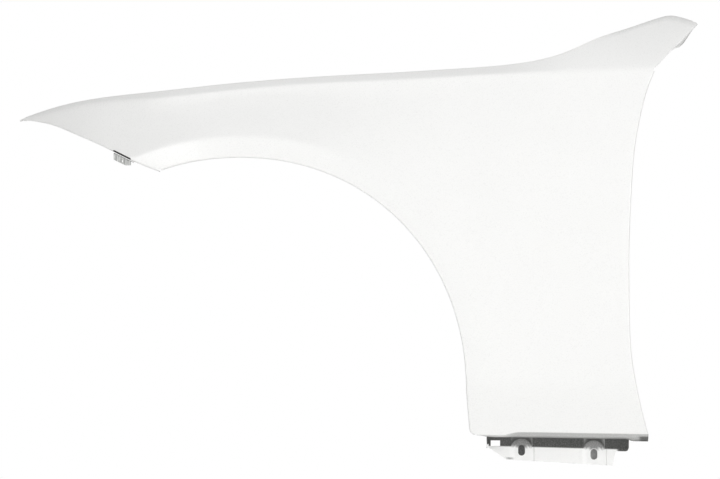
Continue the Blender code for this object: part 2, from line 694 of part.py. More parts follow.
def sill_bracket(parts, cutters):
    """The bracket welded inside the sill flange: a sloped return, a foot with two slots, a flap."""
    halves = (SLOT_PAD_HALF, SLOT_PAD_HALF - SLOT_PAD_WALL, SLOT_NICHE_HALF)
    breaks = [place + side * half for place in SLOT_PLACES for half in halves for side in (-1, 1)]
    breaks += [BRACKET_START + FOOT_CHAMFER, FOOT_END, FOOT_END + FOOT_STEP]
    x = filled(BRACKET_START, BRACKET_END, breaks, BRACKET_PITCH)
    from_slot = np.min([np.abs(x - place) for place in SLOT_PLACES], axis=0)
    on_pad = 1 - ease(from_slot, SLOT_PAD_HALF - SLOT_PAD_WALL, SLOT_PAD_HALF)
    dome = np.sqrt(np.clip(1 - (from_slot / SLOT_NICHE_HALF) ** 2, 0, 1))

    sill_share = (x - ARCH_REACH - ARCH_LEAN) / (door_edge(SKIN_BOTTOM) - ARCH_REACH - ARCH_LEAN)
    edge = on_skin(np.stack([x, SKIN_BOTTOM - SILL_FALL * sill_share], axis=-1))
    slope = math.cos(SILL_SLOPE) * SIDEWAYS - math.sin(SILL_SLOPE) * UPWARD
    above = math.sin(SILL_SLOPE) * SIDEWAYS + math.cos(SILL_SLOPE) * UPWARD
    outward, along = edge_outward(edge, -UPWARD)
    roll = bend_rows(edge, outward, unit(slope - dot(along, slope) * along), SILL_BEND)[:, -1]
    start = roll + slope * (SILL_FLANGE - BRACKET_LAP) + above * (SHEET + WELD_GAP)

    lap_end = start + slope * (BRACKET_LAP + SHEET)
    foot_depth = np.max(edge[:, 1]) + BRACKET_DEPTH
    corner_z = corner_height(x) + SLOT_NICHE_RISE * dome
    corner = np.stack([x, foot_depth + SLOT_PAD_RECESS * on_pad, corner_z], axis=-1)
    fall = unit(corner - lap_end)
    down = np.broadcast_to(-UPWARD, fall.shape)
    bend_start = corner - fall * BRACKET_BEND * np.tan(np.arccos(dot(fall, down)) / 2)
    share = np.linspace(0, 1, 4)[:, None]
    back = lap_end[:, None] + (bend_start - lap_end)[:, None] * share
    bend = bend_rows(bend_start, fall, down, BRACKET_BEND)
    top = bend[:, -1]
    bottom = np.stack([x, top[:, 1], foot_bottom(x)], axis=-1)
    foot = top[:, None] + (bottom - top)[:, None] * share
    foot = np.concatenate([bend, foot[:, 1:]], axis=1)

    flap_edge, flap_down = back[0, :-1], down[:3]
    back = np.concatenate([start[:, None], back], axis=1)
    forward = np.broadcast_to(-REARWARD, flap_edge.shape)
    flap_turn = bend_rows(flap_edge, forward, flap_down, BRACKET_BEND / 2)
    flap_width = np.linspace(BRACKET_FLAP, BRACKET_FLAP / 3, 3)[:, None]
    flap = np.concatenate([flap_turn, (flap_turn[:, -1] + flap_down * flap_width)[:, None]], axis=1)

    material = paint("bracket_paint", WHITE_PAINT, 0.4)
    bracket = sheet_object("sill_bracket", [back, foot, flap], -UPWARD, material, parts)

    bm = bmesh.new()
    for place in SLOT_PLACES:
        centre = np.array([place, foot_depth + SLOT_PAD_RECESS, foot_bottom(place) + SLOT_RISE])
        stretch = SLOT_HALF_HEIGHT - SLOT_HALF_WIDTH
        add_slot_cutter(bm, centre, SIDEWAYS, SLOT_HALF_WIDTH, 8 * SHEET, stretch)
    window = np.array([WINDOW_LENGTH, BRACKET_DEPTH, WINDOW_HEIGHT])
    window_low = start[0] + [WINDOW_INSET, 0, -WINDOW_DROP - WINDOW_HEIGHT]
    add_box_cutter(bm, window_low, window_low + window)
    return [bracket, cut(bracket, bm, cutters)]


def bumper_bracket(parts, cutters):
    """The small angle welded under the front flange, with a hole for the bumper's fixing."""
    x = np.array([-0.5, 0, 0.5]) * TAB_LENGTH - ARCH_FRONT - TAB_FROM_ARCH
    edge = on_skin(front_edge((x + NOSE_REACH) / (NOSE_REACH - ARCH_FRONT)))
    along = unit(edge[2] - edge[0])
    outward = edge_outward(edge, -UPWARD)[0][1]
    run = unit(SIDEWAYS - dot(SIDEWAYS, along) * along)
    fold = bend_rows(edge[1:2], outward[None], run[None], EDGE_BEND)[0, -1]
    under = np.cross(along, run)
    under = under * np.sign(dot(under, outward))

    columns = np.array([-0.5, -0.2, 0.2, 0.5])[:, None]
    face = fold + under * (SHEET / 2 + WELD_GAP) + along * TAB_LENGTH * columns
    weld_end = face + run * FRONT_FLANGE
    weld_start = face + run * (TAB_SETBACK + TAB_BEND)
    down = np.broadcast_to(-UPWARD, face.shape)
    bend = bend_rows(weld_start, np.broadcast_to(-run, face.shape), down, TAB_BEND)
    drop = TAB_DROP * np.array([1, 1, 1, TAB_CORNER])[:, None]
    tip = bend[:, -1] + down * drop
    net = np.concatenate([weld_end[:, None], bend, tip[:, None]], axis=1)
    material = paint("bracket_primer", GREY_PRIMER, 0.5)
    bracket = sheet_object("bumper_bracket", [net], -under, material, parts)

    bm = bmesh.new()
    centre = (bend[1, -1] + bend[2, -1]) / 2 - UPWARD * TAB_DROP / 2
    add_slot_cutter(bm, centre, np.cross(along, UPWARD), TAB_HOLE, 8 * SHEET)
    return [bracket, cut(bracket, bm, cutters)]


def hang_point():
    """The point of the rail face that carries the fender: under a bolt pad, ahead of its hole."""
    return pad_middle(PAD_PLACES[PAD_COUNT // 2]) - HANG_AHEAD * REARWARD - SHEET * UPWARD


for old in list(bpy.data.objects):
    bpy.data.objects.remove(old)
car_fender = bpy.data.collections.new("car_fender")
hole_cutters = bpy.data.collections.new("hole_cutters")
bpy.context.scene.collection.children.link(car_fender)
bpy.context.scene.collection.children.link(hole_cutters)

wheel_centre = bpy.data.objects.new("wheel_centre", None)
wheel_centre.location = -Vector(hang_point())
car_fender.objects.link(wheel_centre)
for make in (fender_panel, sill_bracket, bumper_bracket):
    for made in make(car_fender, hole_cutters):
        made.parent = wheel_centre
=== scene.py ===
# %% [markdown]
# # A car's front fender in the studio
#
# This notebook dresses the left front fender of a saloon car. The real one is a single sheet of
# steel, 0.8 mm thick, that a press has bent into the body side, the shoulder, the wing beside the
# windscreen and a flange along every edge. Two small brackets are spot-welded to it. It has been
# dipped in dark primer and then sprayed white from outside.
#
# The imported model gives the sizes and the places. Here each pressing is worked out again on a
# much finer grid, so that the light runs over it without a facet.

# %% The imported frame
import math

import bmesh
import bpy
import numpy as np
from mathutils import Matrix, Vector


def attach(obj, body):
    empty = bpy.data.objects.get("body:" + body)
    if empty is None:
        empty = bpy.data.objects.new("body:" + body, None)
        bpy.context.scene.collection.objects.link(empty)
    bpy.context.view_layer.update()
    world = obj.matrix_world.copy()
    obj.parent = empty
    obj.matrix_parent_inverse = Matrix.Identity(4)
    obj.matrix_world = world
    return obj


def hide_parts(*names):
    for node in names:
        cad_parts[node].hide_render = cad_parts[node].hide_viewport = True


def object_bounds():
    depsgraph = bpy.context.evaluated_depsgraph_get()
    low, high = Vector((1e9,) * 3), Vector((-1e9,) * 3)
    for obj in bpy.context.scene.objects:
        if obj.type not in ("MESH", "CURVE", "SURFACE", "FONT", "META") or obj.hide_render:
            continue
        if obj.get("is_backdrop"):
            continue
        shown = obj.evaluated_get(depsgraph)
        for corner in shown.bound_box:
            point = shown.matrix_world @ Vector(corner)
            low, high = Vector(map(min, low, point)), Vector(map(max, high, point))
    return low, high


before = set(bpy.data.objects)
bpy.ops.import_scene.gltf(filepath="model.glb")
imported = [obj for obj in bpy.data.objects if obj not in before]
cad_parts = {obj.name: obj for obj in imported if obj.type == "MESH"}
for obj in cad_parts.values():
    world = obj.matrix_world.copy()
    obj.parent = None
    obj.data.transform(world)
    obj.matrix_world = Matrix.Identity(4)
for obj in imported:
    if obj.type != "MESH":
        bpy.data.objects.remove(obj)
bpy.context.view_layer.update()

OUTBOARD = np.array([0.0, -1.0, 0.0])
UPWARD = np.array([0.0, 0.0, 1.0])
REARWARD = np.array([1.0, 0.0, 0.0])

# %% [markdown]
# ## Helpers for colours, nodes and smooth lines
#
# Paint colours are easiest to think of as the hex values of a colour chart, but Blender shades
# with linear light, so one function turns them. A second one adds a shader node with its settings
# and links. The outline of a car is made of fair lines, that is, lines whose curvature never
# jumps. A natural cubic through a few measured points is the classic draughtsman's spline.


# %% Colours, nodes and fair lines
def linear(code, alpha=1.0):
    """Hex sRGB to linear: the value over 12.92 below 0.04045, else ((value + 0.055) / 1.055) ^ 2.4."""
    value = np.array([int(code[i : i + 2], 16) / 255 for i in (0, 2, 4)])
    lit = np.where(value <= 0.04045, value / 12.92, ((value + 0.055) / 1.055) ** 2.4)
    return (*lit, alpha)


def add_node(tree, kind, settings=None, values=None, links=None):
    """Adds a shader node. settings are its properties, values its sockets, links what feeds them."""
    node = tree.nodes.new("ShaderNode" + kind)
    for name, setting in (settings or {}).items():
        setattr(node, name, setting)
    for name, value in (values or {}).items():
        node.inputs[name].default_value = value
    for name, output in (links or {}).items():
        tree.links.new(output, node.inputs[name])
    return node


def fair_line(stations):
    """A natural cubic spline through (place, value) stations, with no bend at its two ends."""
    place, value = np.array(stations, float).T
    gap = np.diff(place)
    slope = np.diff(value) / gap
    inner = np.arange(1, len(place) - 1)
    system, load = np.eye(len(place)), np.zeros(len(place))
    system[inner, inner - 1] = gap[:-1]
    system[inner, inner] = 2 * (gap[:-1] + gap[1:])
    system[inner, inner + 1] = gap[1:]
    load[inner] = 6 * np.diff(slope)
    bend = np.linalg.solve(system, load)

    def at(where):
        i = np.clip(np.searchsorted(place, where) - 1, 0, len(place) - 2)
        left = (place[i + 1] - where) / gap[i]
        right = 1 - left
        curved = (left**3 - left) * bend[i] + (right**3 - right) * bend[i + 1]
        return left * value[i] + right * value[i + 1] + curved * gap[i] ** 2 / 6

    return at


def ease(value, start, end):
    """Rises from 0 at start to 1 at end as 3s^2 - 2s^3, where s is the share of the way."""
    share = np.clip((value - start) / (end - start), 0, 1)
    return share * share * (3 - 2 * share)


def soft_ramp(value, width):
    """width * ln(1 + e^(value / width)): nothing below zero, the value above, a round turn between."""
    return width * np.logaddexp(0, value / width)


def unit(vectors):
    return vectors / np.linalg.norm(vectors, axis=-1, keepdims=True)


def dot(a, b):
    return (a * b).sum(axis=-1, keepdims=True)


print("a hex F5F5F4 in linear light:", [round(c, 3) for c in linear("F5F5F4")])

# %% [markdown]
# ## The lines of the panel
#
# A fender is drawn round the wheel. The arch is a slightly squared circle whose edge clears the
# tyre. The shoulder crease runs from the nose to the door, and above it a narrow band turns in
# to the bonnet, until it climbs into the wing beside the windscreen. The door edge is waisted.
# While the panel is drawn, x runs rearward from the wheel centre, y inboard from the widest
# line of the side, and z up.

# %% Sizes and lines of the panel
SHEET = 0.0008
EDGE_BEND = 0.0025

ARCH_REACH = 0.362
ARCH_HEIGHT = 0.375
ARCH_SQUARENESS = 2.09
ARCH_FRONT = 0.131
ARCH_LEAN = 0.006
ARCH_CORNER = 0.009
LIP_WIDTH = 0.034

NOSE_REACH = 0.352
NOSE_RISE = 0.0615
NOSE_BLUNT = 0.002
SHOULDER_RISE = 0.111
SHOULDER_BAND = 0.0115
DOOR_EDGE_REACH = 0.623
DOOR_FLARE = 0.0425
SILL_DROP = 0.071
SILL_FALL = 0.0045
WING_REACH = 0.734
WING_RISE = 0.071
WING_START = 0.400
print("panel from nose to wing:", round(NOSE_REACH + WING_REACH, 3), "m of", SHEET * 1000, "mm sheet")

# %% [markdown]
# ### Stations of the fair lines
#
# A draughtsman gives a fair line by a few stations, each a place along it and a value there.
# Both are shares of the sizes above, so a line stretches with the nose, the shoulder or the wing.

# %% Stations
shoulder_rise = fair_line([
    (-NOSE_REACH, NOSE_RISE),
    (-0.88 * NOSE_REACH, 0.649 * SHOULDER_RISE),
    (-0.7 * NOSE_REACH, 0.775 * SHOULDER_RISE),
    (-0.4 * NOSE_REACH, 0.86 * SHOULDER_RISE),
    (0, 0.986 * SHOULDER_RISE),
    (0.14 * WING_REACH, 1.063 * SHOULDER_RISE),
    (0.36 * WING_REACH, 1.133 * SHOULDER_RISE),
    (0.58 * WING_REACH, 1.216 * SHOULDER_RISE),
    (0.81 * WING_REACH, 1.279 * SHOULDER_RISE),
    (1.05 * WING_REACH, 1.342 * SHOULDER_RISE),
])
band_share = fair_line([
    (-NOSE_REACH, NOSE_BLUNT / SHOULDER_BAND),
    (-0.88 * NOSE_REACH, 0.52),
    (-0.7 * NOSE_REACH, 0.60),
    (-0.37 * NOSE_REACH, 0.92),
    (0.09 * WING_REACH, 0.94),
    (0.35 * WING_REACH, 1.04),
    (0.7 * WING_REACH, 1.08),
    (WING_REACH, 1.08),
])
wing_share = fair_line([
    (0.5 * WING_REACH, 0),
    (0.589 * WING_REACH, 0.025),
    (0.654 * WING_REACH, 0.100),
    (0.719 * WING_REACH, 0.274),
    (0.785 * WING_REACH, 0.550),
    (0.850 * WING_REACH, 0.745),
    (0.924 * WING_REACH, 0.970),
    (0.937 * WING_REACH, 0.992),
    (0.950 * WING_REACH, 0.978),
    (0.977 * WING_REACH, 0.890),
    (WING_REACH, 0.800),
])
front_fall = fair_line([
    (0, 0),
    (0.10, 0.002),
    (0.217, 0.046),
    (0.333, 0.165),
    (0.449, 0.305),
    (0.565, 0.445),
    (0.65, 0.560),
    (0.85, 0.832),
    (1, 1),
])
door_edge_share = fair_line([
    (0, 0.73),
    (0.058, 0.522),
    (0.14, 0.270),
    (0.22, 0.092),
    (0.34, 0.014),
    (0.5, 0),
    (0.67, 0.09),
    (0.79, 0.224),
    (0.87, 0.424),
    (0.95, 0.718),
    (1, 1),
])
print("the crease rises", round(float(shoulder_rise(WING_REACH)), 4), "m from arch top to wing")

# %% [markdown]
# ### Outlines
#
# From the stations come the outlines that the grids start and end on: the crease, the top edge,
# the arch, the door edge and the lower edge of the nose.


# %% Outlines of the panel
def shoulder_height(x):
    """Height of the shoulder crease."""
    return ARCH_HEIGHT + shoulder_rise(x)


def top_height(x):
    """The crease, plus the band over it, plus the wing where it climbs."""
    wing = WING_RISE * wing_share(np.maximum(x, 0.5 * WING_REACH))
    return shoulder_height(x) + SHOULDER_BAND * band_share(x) + wing


def arch_radius(angle):
    """A squared circle: (|cos| / reach)^n + (|sin| / height)^n = radius^-n."""
    across = np.abs(np.cos(angle) / ARCH_REACH) ** ARCH_SQUARENESS
    upright = np.abs(np.sin(angle) / ARCH_HEIGHT) ** ARCH_SQUARENESS
    return (across + upright) ** (-1 / ARCH_SQUARENESS)


def arch_height(x, growth=0.0):
    """The same squared circle as a height over x, grown outward by a width."""
    share = np.clip(np.abs(x) / (ARCH_REACH + growth), 0, 1) ** ARCH_SQUARENESS
    return (ARCH_HEIGHT + growth) * (1 - share) ** (1 / ARCH_SQUARENESS)


def arch_foot(z):
    """How far the arch edge leans rearward below the wheel centre."""
    return ARCH_LEAN * np.clip(-z / SILL_DROP, 0, None)


def door_edge(z):
    """Place of the door edge: its share between sill and crease, times how far it flares."""
    top = shoulder_height(DOOR_EDGE_REACH)
    return DOOR_EDGE_REACH + DOOR_FLARE * door_edge_share((z + SILL_DROP) / (top + SILL_DROP))


def front_edge(share):
    """The lower edge of the nose as (x, z): a straight run in x and a spline in z."""
    start = ARCH_HEIGHT + NOSE_RISE - NOSE_BLUNT
    end = arch_height(-ARCH_FRONT) + EDGE_BEND
    x = -NOSE_REACH + share * (NOSE_REACH - ARCH_FRONT)
    return np.stack([x, start + (end - start) * front_fall(share)], axis=-1)


print("arch top at", ARCH_HEIGHT, "crease over it at", round(float(shoulder_height(0.0)), 4))

# %% [markdown]
# ## The depth of the panel
#
# Seen from the side, a car looks flat, but every highlight on it comes from depth. The nose is
# swept in towards the bumper. Under the shoulder crease the side is hollowed, most of all over
# the wheel, and it folds out again into the lip round the arch. Near the sill it tucks under.
# Each of these is a small formula of x and z, and the outer skin is their sum. The crease is
# where two such surfaces meet, and a soft maximum rounds it as a press tool does.

# %% Depth of the outer skin
NOSE_SWEEP = 0.150
NOSE_SWEEP_START = 0.060
SWEEP_POWER = 2.3
NOSE_LEAD = 0.030
NOSE_LEAD_FADE = (-0.75 * NOSE_REACH, -0.3 * NOSE_REACH)
REAR_TURN_IN = 0.005
HOLLOW_DEPTH = 0.050
CREASE_INSET = 0.080
CREASE_LIFT = 0.0025
CREASE_LIFT_REACH = 0.012
FLARE = 0.007
FLARE_SPREAD = 0.045
FLARE_FADE = (math.radians(35), math.radians(85))
SHARP_LIP = 0.0016
SOFT_LIP = 0.0080
SOFT_LIP_FADE = (math.radians(45), math.radians(75))
SILL_CREASE_HEIGHT = 0.011
SILL_TUCK = 0.155
TUCK_SOFTNESS = 0.006
BARREL = 0.008
BARREL_TOP = 0.200
BARREL_SPAN = 0.300
CREASE_SOFTNESS = 0.0008
BONNET_LEAN = 1.15
WINDSCREEN_LEAN = 0.65
WINDSCREEN_START = (0.55 * WING_REACH, 0.75 * WING_REACH)
BAND_ROUNDING = 2.5

hollow_share = fair_line([
    (-NOSE_REACH, 0.53),
    (-0.37 * NOSE_REACH, 0.82),
    (0, 1.12),
    (0.20 * WING_REACH, 0.775),
    (0.41 * WING_REACH, 0.488),
    (0.61 * WING_REACH, 0.375),
    (0.82 * WING_REACH, 0.312),
    (1.05 * WING_REACH, 0.275),
])
print("share of the hollow over the wheel:", round(float(hollow_share(0)), 3))

# %% [markdown]
# ### The skin as a sum of formulas
#
# The side and the shoulder band each have a depth for every (x, z), and the skin is the deeper
# of the two. Its normals are worked out from small steps in x and z, and the folds follow them.


# %% Depths and normals
def side_depth(x, z):
    """Plan sweep, plus a hollow (f + 1) e^-f of the fall f below the crease, a lift, and the tuck."""
    sweep = np.clip(NOSE_SWEEP_START - x, 0, None) / (NOSE_SWEEP_START + NOSE_REACH)
    plan = NOSE_SWEEP * sweep**SWEEP_POWER + REAR_TURN_IN * (np.clip(x, 0, None) / WING_REACH) ** 2
    lead = NOSE_LEAD * (1 - ease(x, *NOSE_LEAD_FADE))
    drop = np.clip(shoulder_height(x) - z, 0, None)
    fall = (drop + lead) / HOLLOW_DEPTH
    lip_fall = (shoulder_height(x) - arch_height(x, LIP_WIDTH) + lead) / HOLLOW_DEPTH
    hollow = (fall + 1) * np.exp(-fall) - (lip_fall + 1) * np.exp(-lip_fall)
    tuck = SILL_TUCK * soft_ramp(SILL_CREASE_HEIGHT - z, TUCK_SOFTNESS)
    barrel = BARREL * (np.clip(BARREL_TOP - z, 0, None) / BARREL_SPAN) ** SWEEP_POWER
    lift = CREASE_LIFT * np.exp(-drop / CREASE_LIFT_REACH)
    return plan + CREASE_INSET * hollow_share(x) * hollow + lift + tuck + barrel


def flared_depth(x, z):
    """The side read at its own radius outside the lip, and at the lip's crease inside it."""
    above = z > 0
    angle = np.where(above, np.arctan2(np.maximum(z, 0), x), 0)
    radius = np.where(above, np.hypot(x, z), x - arch_foot(z))
    rearward = 1 - ease(angle, *FLARE_FADE)
    blend = SHARP_LIP + (SOFT_LIP - SHARP_LIP) * (1 - ease(angle, *SOFT_LIP_FADE))
    crease = arch_radius(angle) + LIP_WIDTH
    spread = crease + soft_ramp(radius - crease, blend) - radius
    flare = FLARE * rearward * np.exp(-(radius + spread - crease) / FLARE_SPREAD)
    return side_depth(x + spread * np.cos(angle), z + spread * np.sin(angle)) - flare


def shoulder_depth(x, z):
    """From the crease up: lean times the rise, plus a rounding times the rise squared."""
    rise = z - shoulder_height(x)
    on_wing = ease(x, *WINDSCREEN_START)
    lean = BONNET_LEAN + (WINDSCREEN_LEAN - BONNET_LEAN) * on_wing
    return side_depth(x, shoulder_height(x)) + lean * rise + BAND_ROUNDING * np.clip(rise, 0, None) ** 2


def skin_depth(x, z):
    """The deeper of the two surfaces, with a soft maximum where they meet."""
    side = flared_depth(x, z)
    return side + soft_ramp(shoulder_depth(x, z) - side, CREASE_SOFTNESS)


def on_skin(places):
    """Lifts (x, z) places to points of the outer skin."""
    x, z = places[..., 0], places[..., 1]
    return np.stack([x, skin_depth(x, z), z], axis=-1)


def inboard_normal(points):
    """Minus the slopes of the depth in x and z, and one along y, made a unit vector."""
    x, z, step = points[..., 0], points[..., 2], 0.0005
    slope_x = (skin_depth(x + step, z) - skin_depth(x - step, z)) / (2 * step)
    slope_z = (skin_depth(x, z + step) - skin_depth(x, z - step)) / (2 * step)
    return unit(np.stack([-slope_x, np.ones_like(x), -slope_z], axis=-1))


hollow_line = np.linspace(0.40, 0.48, 3)
print("depth under the crease over the wheel:", np.round(skin_depth(np.zeros(3), hollow_line), 4))

# %% [markdown]
# ## Folds
#
# A flange leaves an edge in two steps: a tight bend of 2.5 mm, and a flat strip. Blender's
# Bevel could round a sharp fold afterwards, but a bend that is drawn as rows of points turns
# by the exact angle everywhere, also where the edge itself curves.

# %% Bends and flanges
BEND_STEPS = 7


def edge_outward(edge, away):
    """At each point of an edge, the direction that leaves the panel in its own surface."""
    along = unit(np.gradient(edge, axis=0))
    outward = unit(np.cross(along, inboard_normal(edge)))
    return outward * np.sign(dot(outward, away)), along


def bend_rows(edge, outward, run, radius):
    """An arc from the edge: radius * (sin a * outward + (1 - cos a) * inward), a up to the turn."""
    turn = np.arccos(np.clip(dot(outward, run), -1, 1))[:, None]
    inward = unit(run - dot(run, outward) * outward)[:, None]
    angle = np.linspace(0, 1, BEND_STEPS + 1)[:, None] * turn
    radius = np.broadcast_to(radius, len(edge))[:, None, None]
    return edge[:, None] + radius * (np.sin(angle) * outward[:, None] + (1 - np.cos(angle)) * inward)


def flange(edge, away, run, width, radius=EDGE_BEND, strips=1):
    """A bend from the edge towards run, then a flat strip of a width, in one or more strips."""
    outward, along = edge_outward(edge, away)
    run = unit(run - dot(along, run) * along)
    bend = bend_rows(edge, outward, run, radius)
    reach = np.broadcast_to(width, len(edge))[:, None, None] * np.linspace(0, 1, strips + 1)[1:, None]
    return np.concatenate([bend, bend[:, -1:] + run[:, None] * reach], axis=1)


print("a bend turns in", BEND_STEPS, "steps")

# %% [markdown]
# ## From nets of points to a sheet of steel
#
# A net is a grid of points, rows by columns. Nets that share an edge are joined into one open
# sheet, which then gets its thickness inward with Solidify, so that the outer skin stays where
# the formula put it. Holes are punched last. The result is turned into a plain mesh, and edges
# that turn by more than 30 degrees are marked sharp, so a rim stays crisp on smooth shading.

# %% Nets, sheets and holes
SHARP_TURN = math.radians(30)


def net_faces(shape, first):
    """The corners (r, c), (r+1, c), (r+1, c+1), (r, c+1) of every cell, numbered from first."""
    index = first + np.arange(shape[0] * shape[1]).reshape(shape)
    corners = [index[:-1, :-1], index[1:, :-1], index[1:, 1:], index[:-1, 1:]]
    return np.stack(corners, axis=-1).reshape(-1, 4)


def open_sheet(nets, outside):
    """One open mesh from many nets, its doubles merged and its faces turned to the outside."""
    first = np.cumsum([0] + [net.shape[0] * net.shape[1] for net in nets])
    points = np.concatenate([net.reshape(-1, 3) for net in nets])
    faces = np.concatenate([net_faces(net.shape[:2], start) for net, start in zip(nets, first)])
    mesh = bpy.data.meshes.new("net")
    mesh.from_pydata(points.tolist(), [], faces.tolist())
    bm = bmesh.new()
    bm.from_mesh(mesh)
    bmesh.ops.remove_doubles(bm, verts=bm.verts, dist=2e-6)
    bmesh.ops.recalc_face_normals(bm, faces=bm.faces)
    bm.faces.ensure_lookup_table()
    if bm.faces[0].normal.dot(Vector(outside)) < 0:
        bmesh.ops.reverse_faces(bm, faces=bm.faces)
    bm.to_mesh(mesh)
    bm.free()
    return mesh


print("edges turn sharp past", round(math.degrees(SHARP_TURN)), "degrees")

# %% [markdown]
# ### Thickness and holes
#
# Solidify gives the open sheet its 0.8 mm, and a Boolean takes the punches out of it. Both are
# applied at once, because the finished piece has to stand as a plain mesh at its own place.


# %% Sheets with holes
def punch_mesh(places, segments=48):
    """Round or upright oblong punches: (centre, axis, radius, length, stretch) each."""
    bm = bmesh.new()
    for centre, axis, radius, length, stretch in places:
        turn = Vector(axis).to_track_quat("Z", "Y").to_matrix().to_4x4()
        made = bmesh.ops.create_cone(
            bm, cap_ends=True, segments=segments, radius1=radius, radius2=radius, depth=length, matrix=turn
        )
        for vert in made["verts"]:
            vert.co.z += math.copysign(stretch, vert.co.z)
            vert.co += Vector(centre)
    return bm


def punched_sheet(name, nets, outside, bm):
    """A sheet with its thickness and holes, as a plain mesh at its place in the frame."""
    piece = bpy.data.objects.new(name, open_sheet(nets, outside))
    punch = bpy.data.objects.new(name + "_punch", bpy.data.meshes.new(name + "_punch"))
    bm.to_mesh(punch.data)
    bm.free()
    for made in (piece, punch):
        bpy.context.scene.collection.objects.link(made)
    thickness = piece.modifiers.new("thickness", "SOLIDIFY")
    thickness.thickness = SHEET
    thickness.offset = -1
    thickness.use_even_offset = True
    hole = piece.modifiers.new("holes", "BOOLEAN")
    hole.operation = "DIFFERENCE"
    hole.object = punch
    done = bpy.data.meshes.new_from_object(piece.evaluated_get(bpy.context.evaluated_depsgraph_get()))
    bpy.data.objects.remove(punch)
    piece.modifiers.clear()
    piece.data = done
    done.name = name
    done.transform(Matrix.Translation(wheel_centre))
    done.shade_smooth()
    done.set_sharp_from_angle(angle=SHARP_TURN)
    print(name, len(done.polygons), "faces, inside the frame at", [round(c, 3) for c in wheel_centre])
    return piece


# %% [markdown]
# ## The bonnet ledge
#
# Behind the top edge the sheet rolls over and drops into a gutter. At its foot a narrow ledge
# runs along the car, with four wider pads that are bolted to the inner rail. It can't be seen
# from the side, but it is what holds the fender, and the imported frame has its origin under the
# third pad, so the wheel centre's place in the frame follows from it.

# %% The ledge, its pads and the wheel centre
LEDGE_DROP = 0.026
LEDGE_WIDTH = 0.012
LEDGE_MARGIN = 0.040
PAD_WIDTH = 0.028
PAD_HALF = 0.026
PAD_PLACES = np.linspace(-0.205, 0.415, 4)
PAD_HOLE = 0.0045
HANG_AHEAD = 0.014
LEDGE_START = PAD_PLACES[0] - LEDGE_MARGIN
LEDGE_END = PAD_PLACES[-1] + 2 * LEDGE_MARGIN
WALL_START = -0.305
WING_WALL = 0.014
WING_WALL_END = 0.690


def top_bend(edge):
    """The top edge rolled over until it points straight down."""
    outward, _ = edge_outward(edge, UPWARD)
    return bend_rows(edge, outward, np.broadcast_to(-UPWARD, edge.shape), EDGE_BEND)


def ledge_height(x):
    """Level at each pad, with straight slopes between them."""
    ends = np.stack([PAD_PLACES - PAD_HALF, PAD_PLACES + PAD_HALF], axis=-1).ravel()
    return np.interp(x, ends, np.repeat(top_height(PAD_PLACES) - LEDGE_DROP, 2))


def ledge_width(x):
    """Narrow between the pads, and eased out to the pad's width beside each."""
    distance = np.min(np.abs(x[:, None] - PAD_PLACES), axis=1)
    return PAD_WIDTH + (LEDGE_WIDTH - PAD_WIDTH) * ease(distance, PAD_HALF, PAD_HALF + LEDGE_WIDTH)


def bonnet_ledge(foot):
    """Gutter wall down to a bend, then the ledge out to its own width."""
    level = ledge_height(foot[:, 0])
    quarter = np.linspace(0, math.pi / 2, BEND_STEPS + 1)
    turn_y = foot[:, 1, None] + EDGE_BEND * (1 - np.cos(quarter))
    turn_z = level[:, None] + EDGE_BEND * (1 - np.sin(quarter))
    turn = np.stack([np.broadcast_to(foot[:, :1], turn_y.shape), turn_y, turn_z], axis=-1)
    end = turn[:, -1] - OUTBOARD * ledge_width(foot[:, 0])[:, None]
    return np.concatenate([foot[:, None], turn, end[:, None]], axis=1)


def pad_middle(place):
    """The middle of a bolt pad's upper face."""
    x = place + np.array([-0.001, 0, 0.001])
    edge = on_skin(np.stack([x, top_height(x) - EDGE_BEND / 4], axis=-1))
    rows = bonnet_ledge(top_bend(edge)[:, -1])
    return (rows[1, -2] + rows[1, -1]) / 2


pad_face = pad_middle(PAD_PLACES[2]) - SHEET * UPWARD
wheel_centre = -(pad_face - HANG_AHEAD * REARWARD + CREASE_LIFT * OUTBOARD)
print("wheel centre in the frame:", np.round(wheel_centre, 5))

# %% [markdown]
# ## The net of the body side
#
# The side has one awkward hole in it, the wheel arch, so its grid is drawn like a spider's web:
# every spoke runs from the arch, or from the lower edge of the nose, out to the crease or to the
# door edge. Rows lie close together where the lip folds and where the crease turns, so the
# highlights there stay thin. The first spoke is drawn out a little, so the nose ends in a point.

# %% Spokes and rows
NET_PITCH = 0.0055
SILL_BEND = 0.0086
SILL_SLOPE = math.radians(12)
SKIN_BOTTOM = -SILL_DROP + SILL_BEND * math.cos(SILL_SLOPE)
SILL_ROLL_START = 0.418
SILL_ROLL_FULL = 0.450
CORNER_STEPS = 7
NOSE_LIFT = 0.0016
NOSE_LIFT_REACH = 0.060
NOSE_POINT = 0.003
NOSE_POINT_INWARD = 0.6
NOSE_POINT_FALLS = (-0.27, 0.45)
PILLAR_TAB = 0.024
PILLAR_TAB_HEIGHT = 0.400
PILLAR_TAB_HALF = 0.020
LIP_SHARES = (0, 0.18, 0.36, 0.52, 0.66, 0.78, 0.86, 0.91, 0.94, 0.97, 1, 1.03, 1.06, 1.1, 1.16, 1.26, 1.4)
SIDE_ROWS = 44
SIDE_CROWDING = 1.25
BAND_ROWS = 14
BAND_CROWDING = 1.7
WING_LEAN_BACK = 1.6


def filled(low, high, breaks, pitch):
    """Places from low to high, about a pitch apart, with every break between them among them."""
    inside = sorted(b for b in breaks if low + pitch / 8 < b < high - pitch / 8)
    ends = [low, *inside, high]
    runs = [np.linspace(a, b, math.ceil((b - a) / pitch - 1e-6) + 1)[:-1] for a, b in zip(ends, ends[1:])]
    return np.concatenate([*runs, [high]])


def shoulder_place(angle):
    """Where the spoke at an angle meets the crease, found by going there again and again."""
    x = 0.0
    for _ in range(30):
        x = float(shoulder_height(x)) / math.tan(angle)
    return x


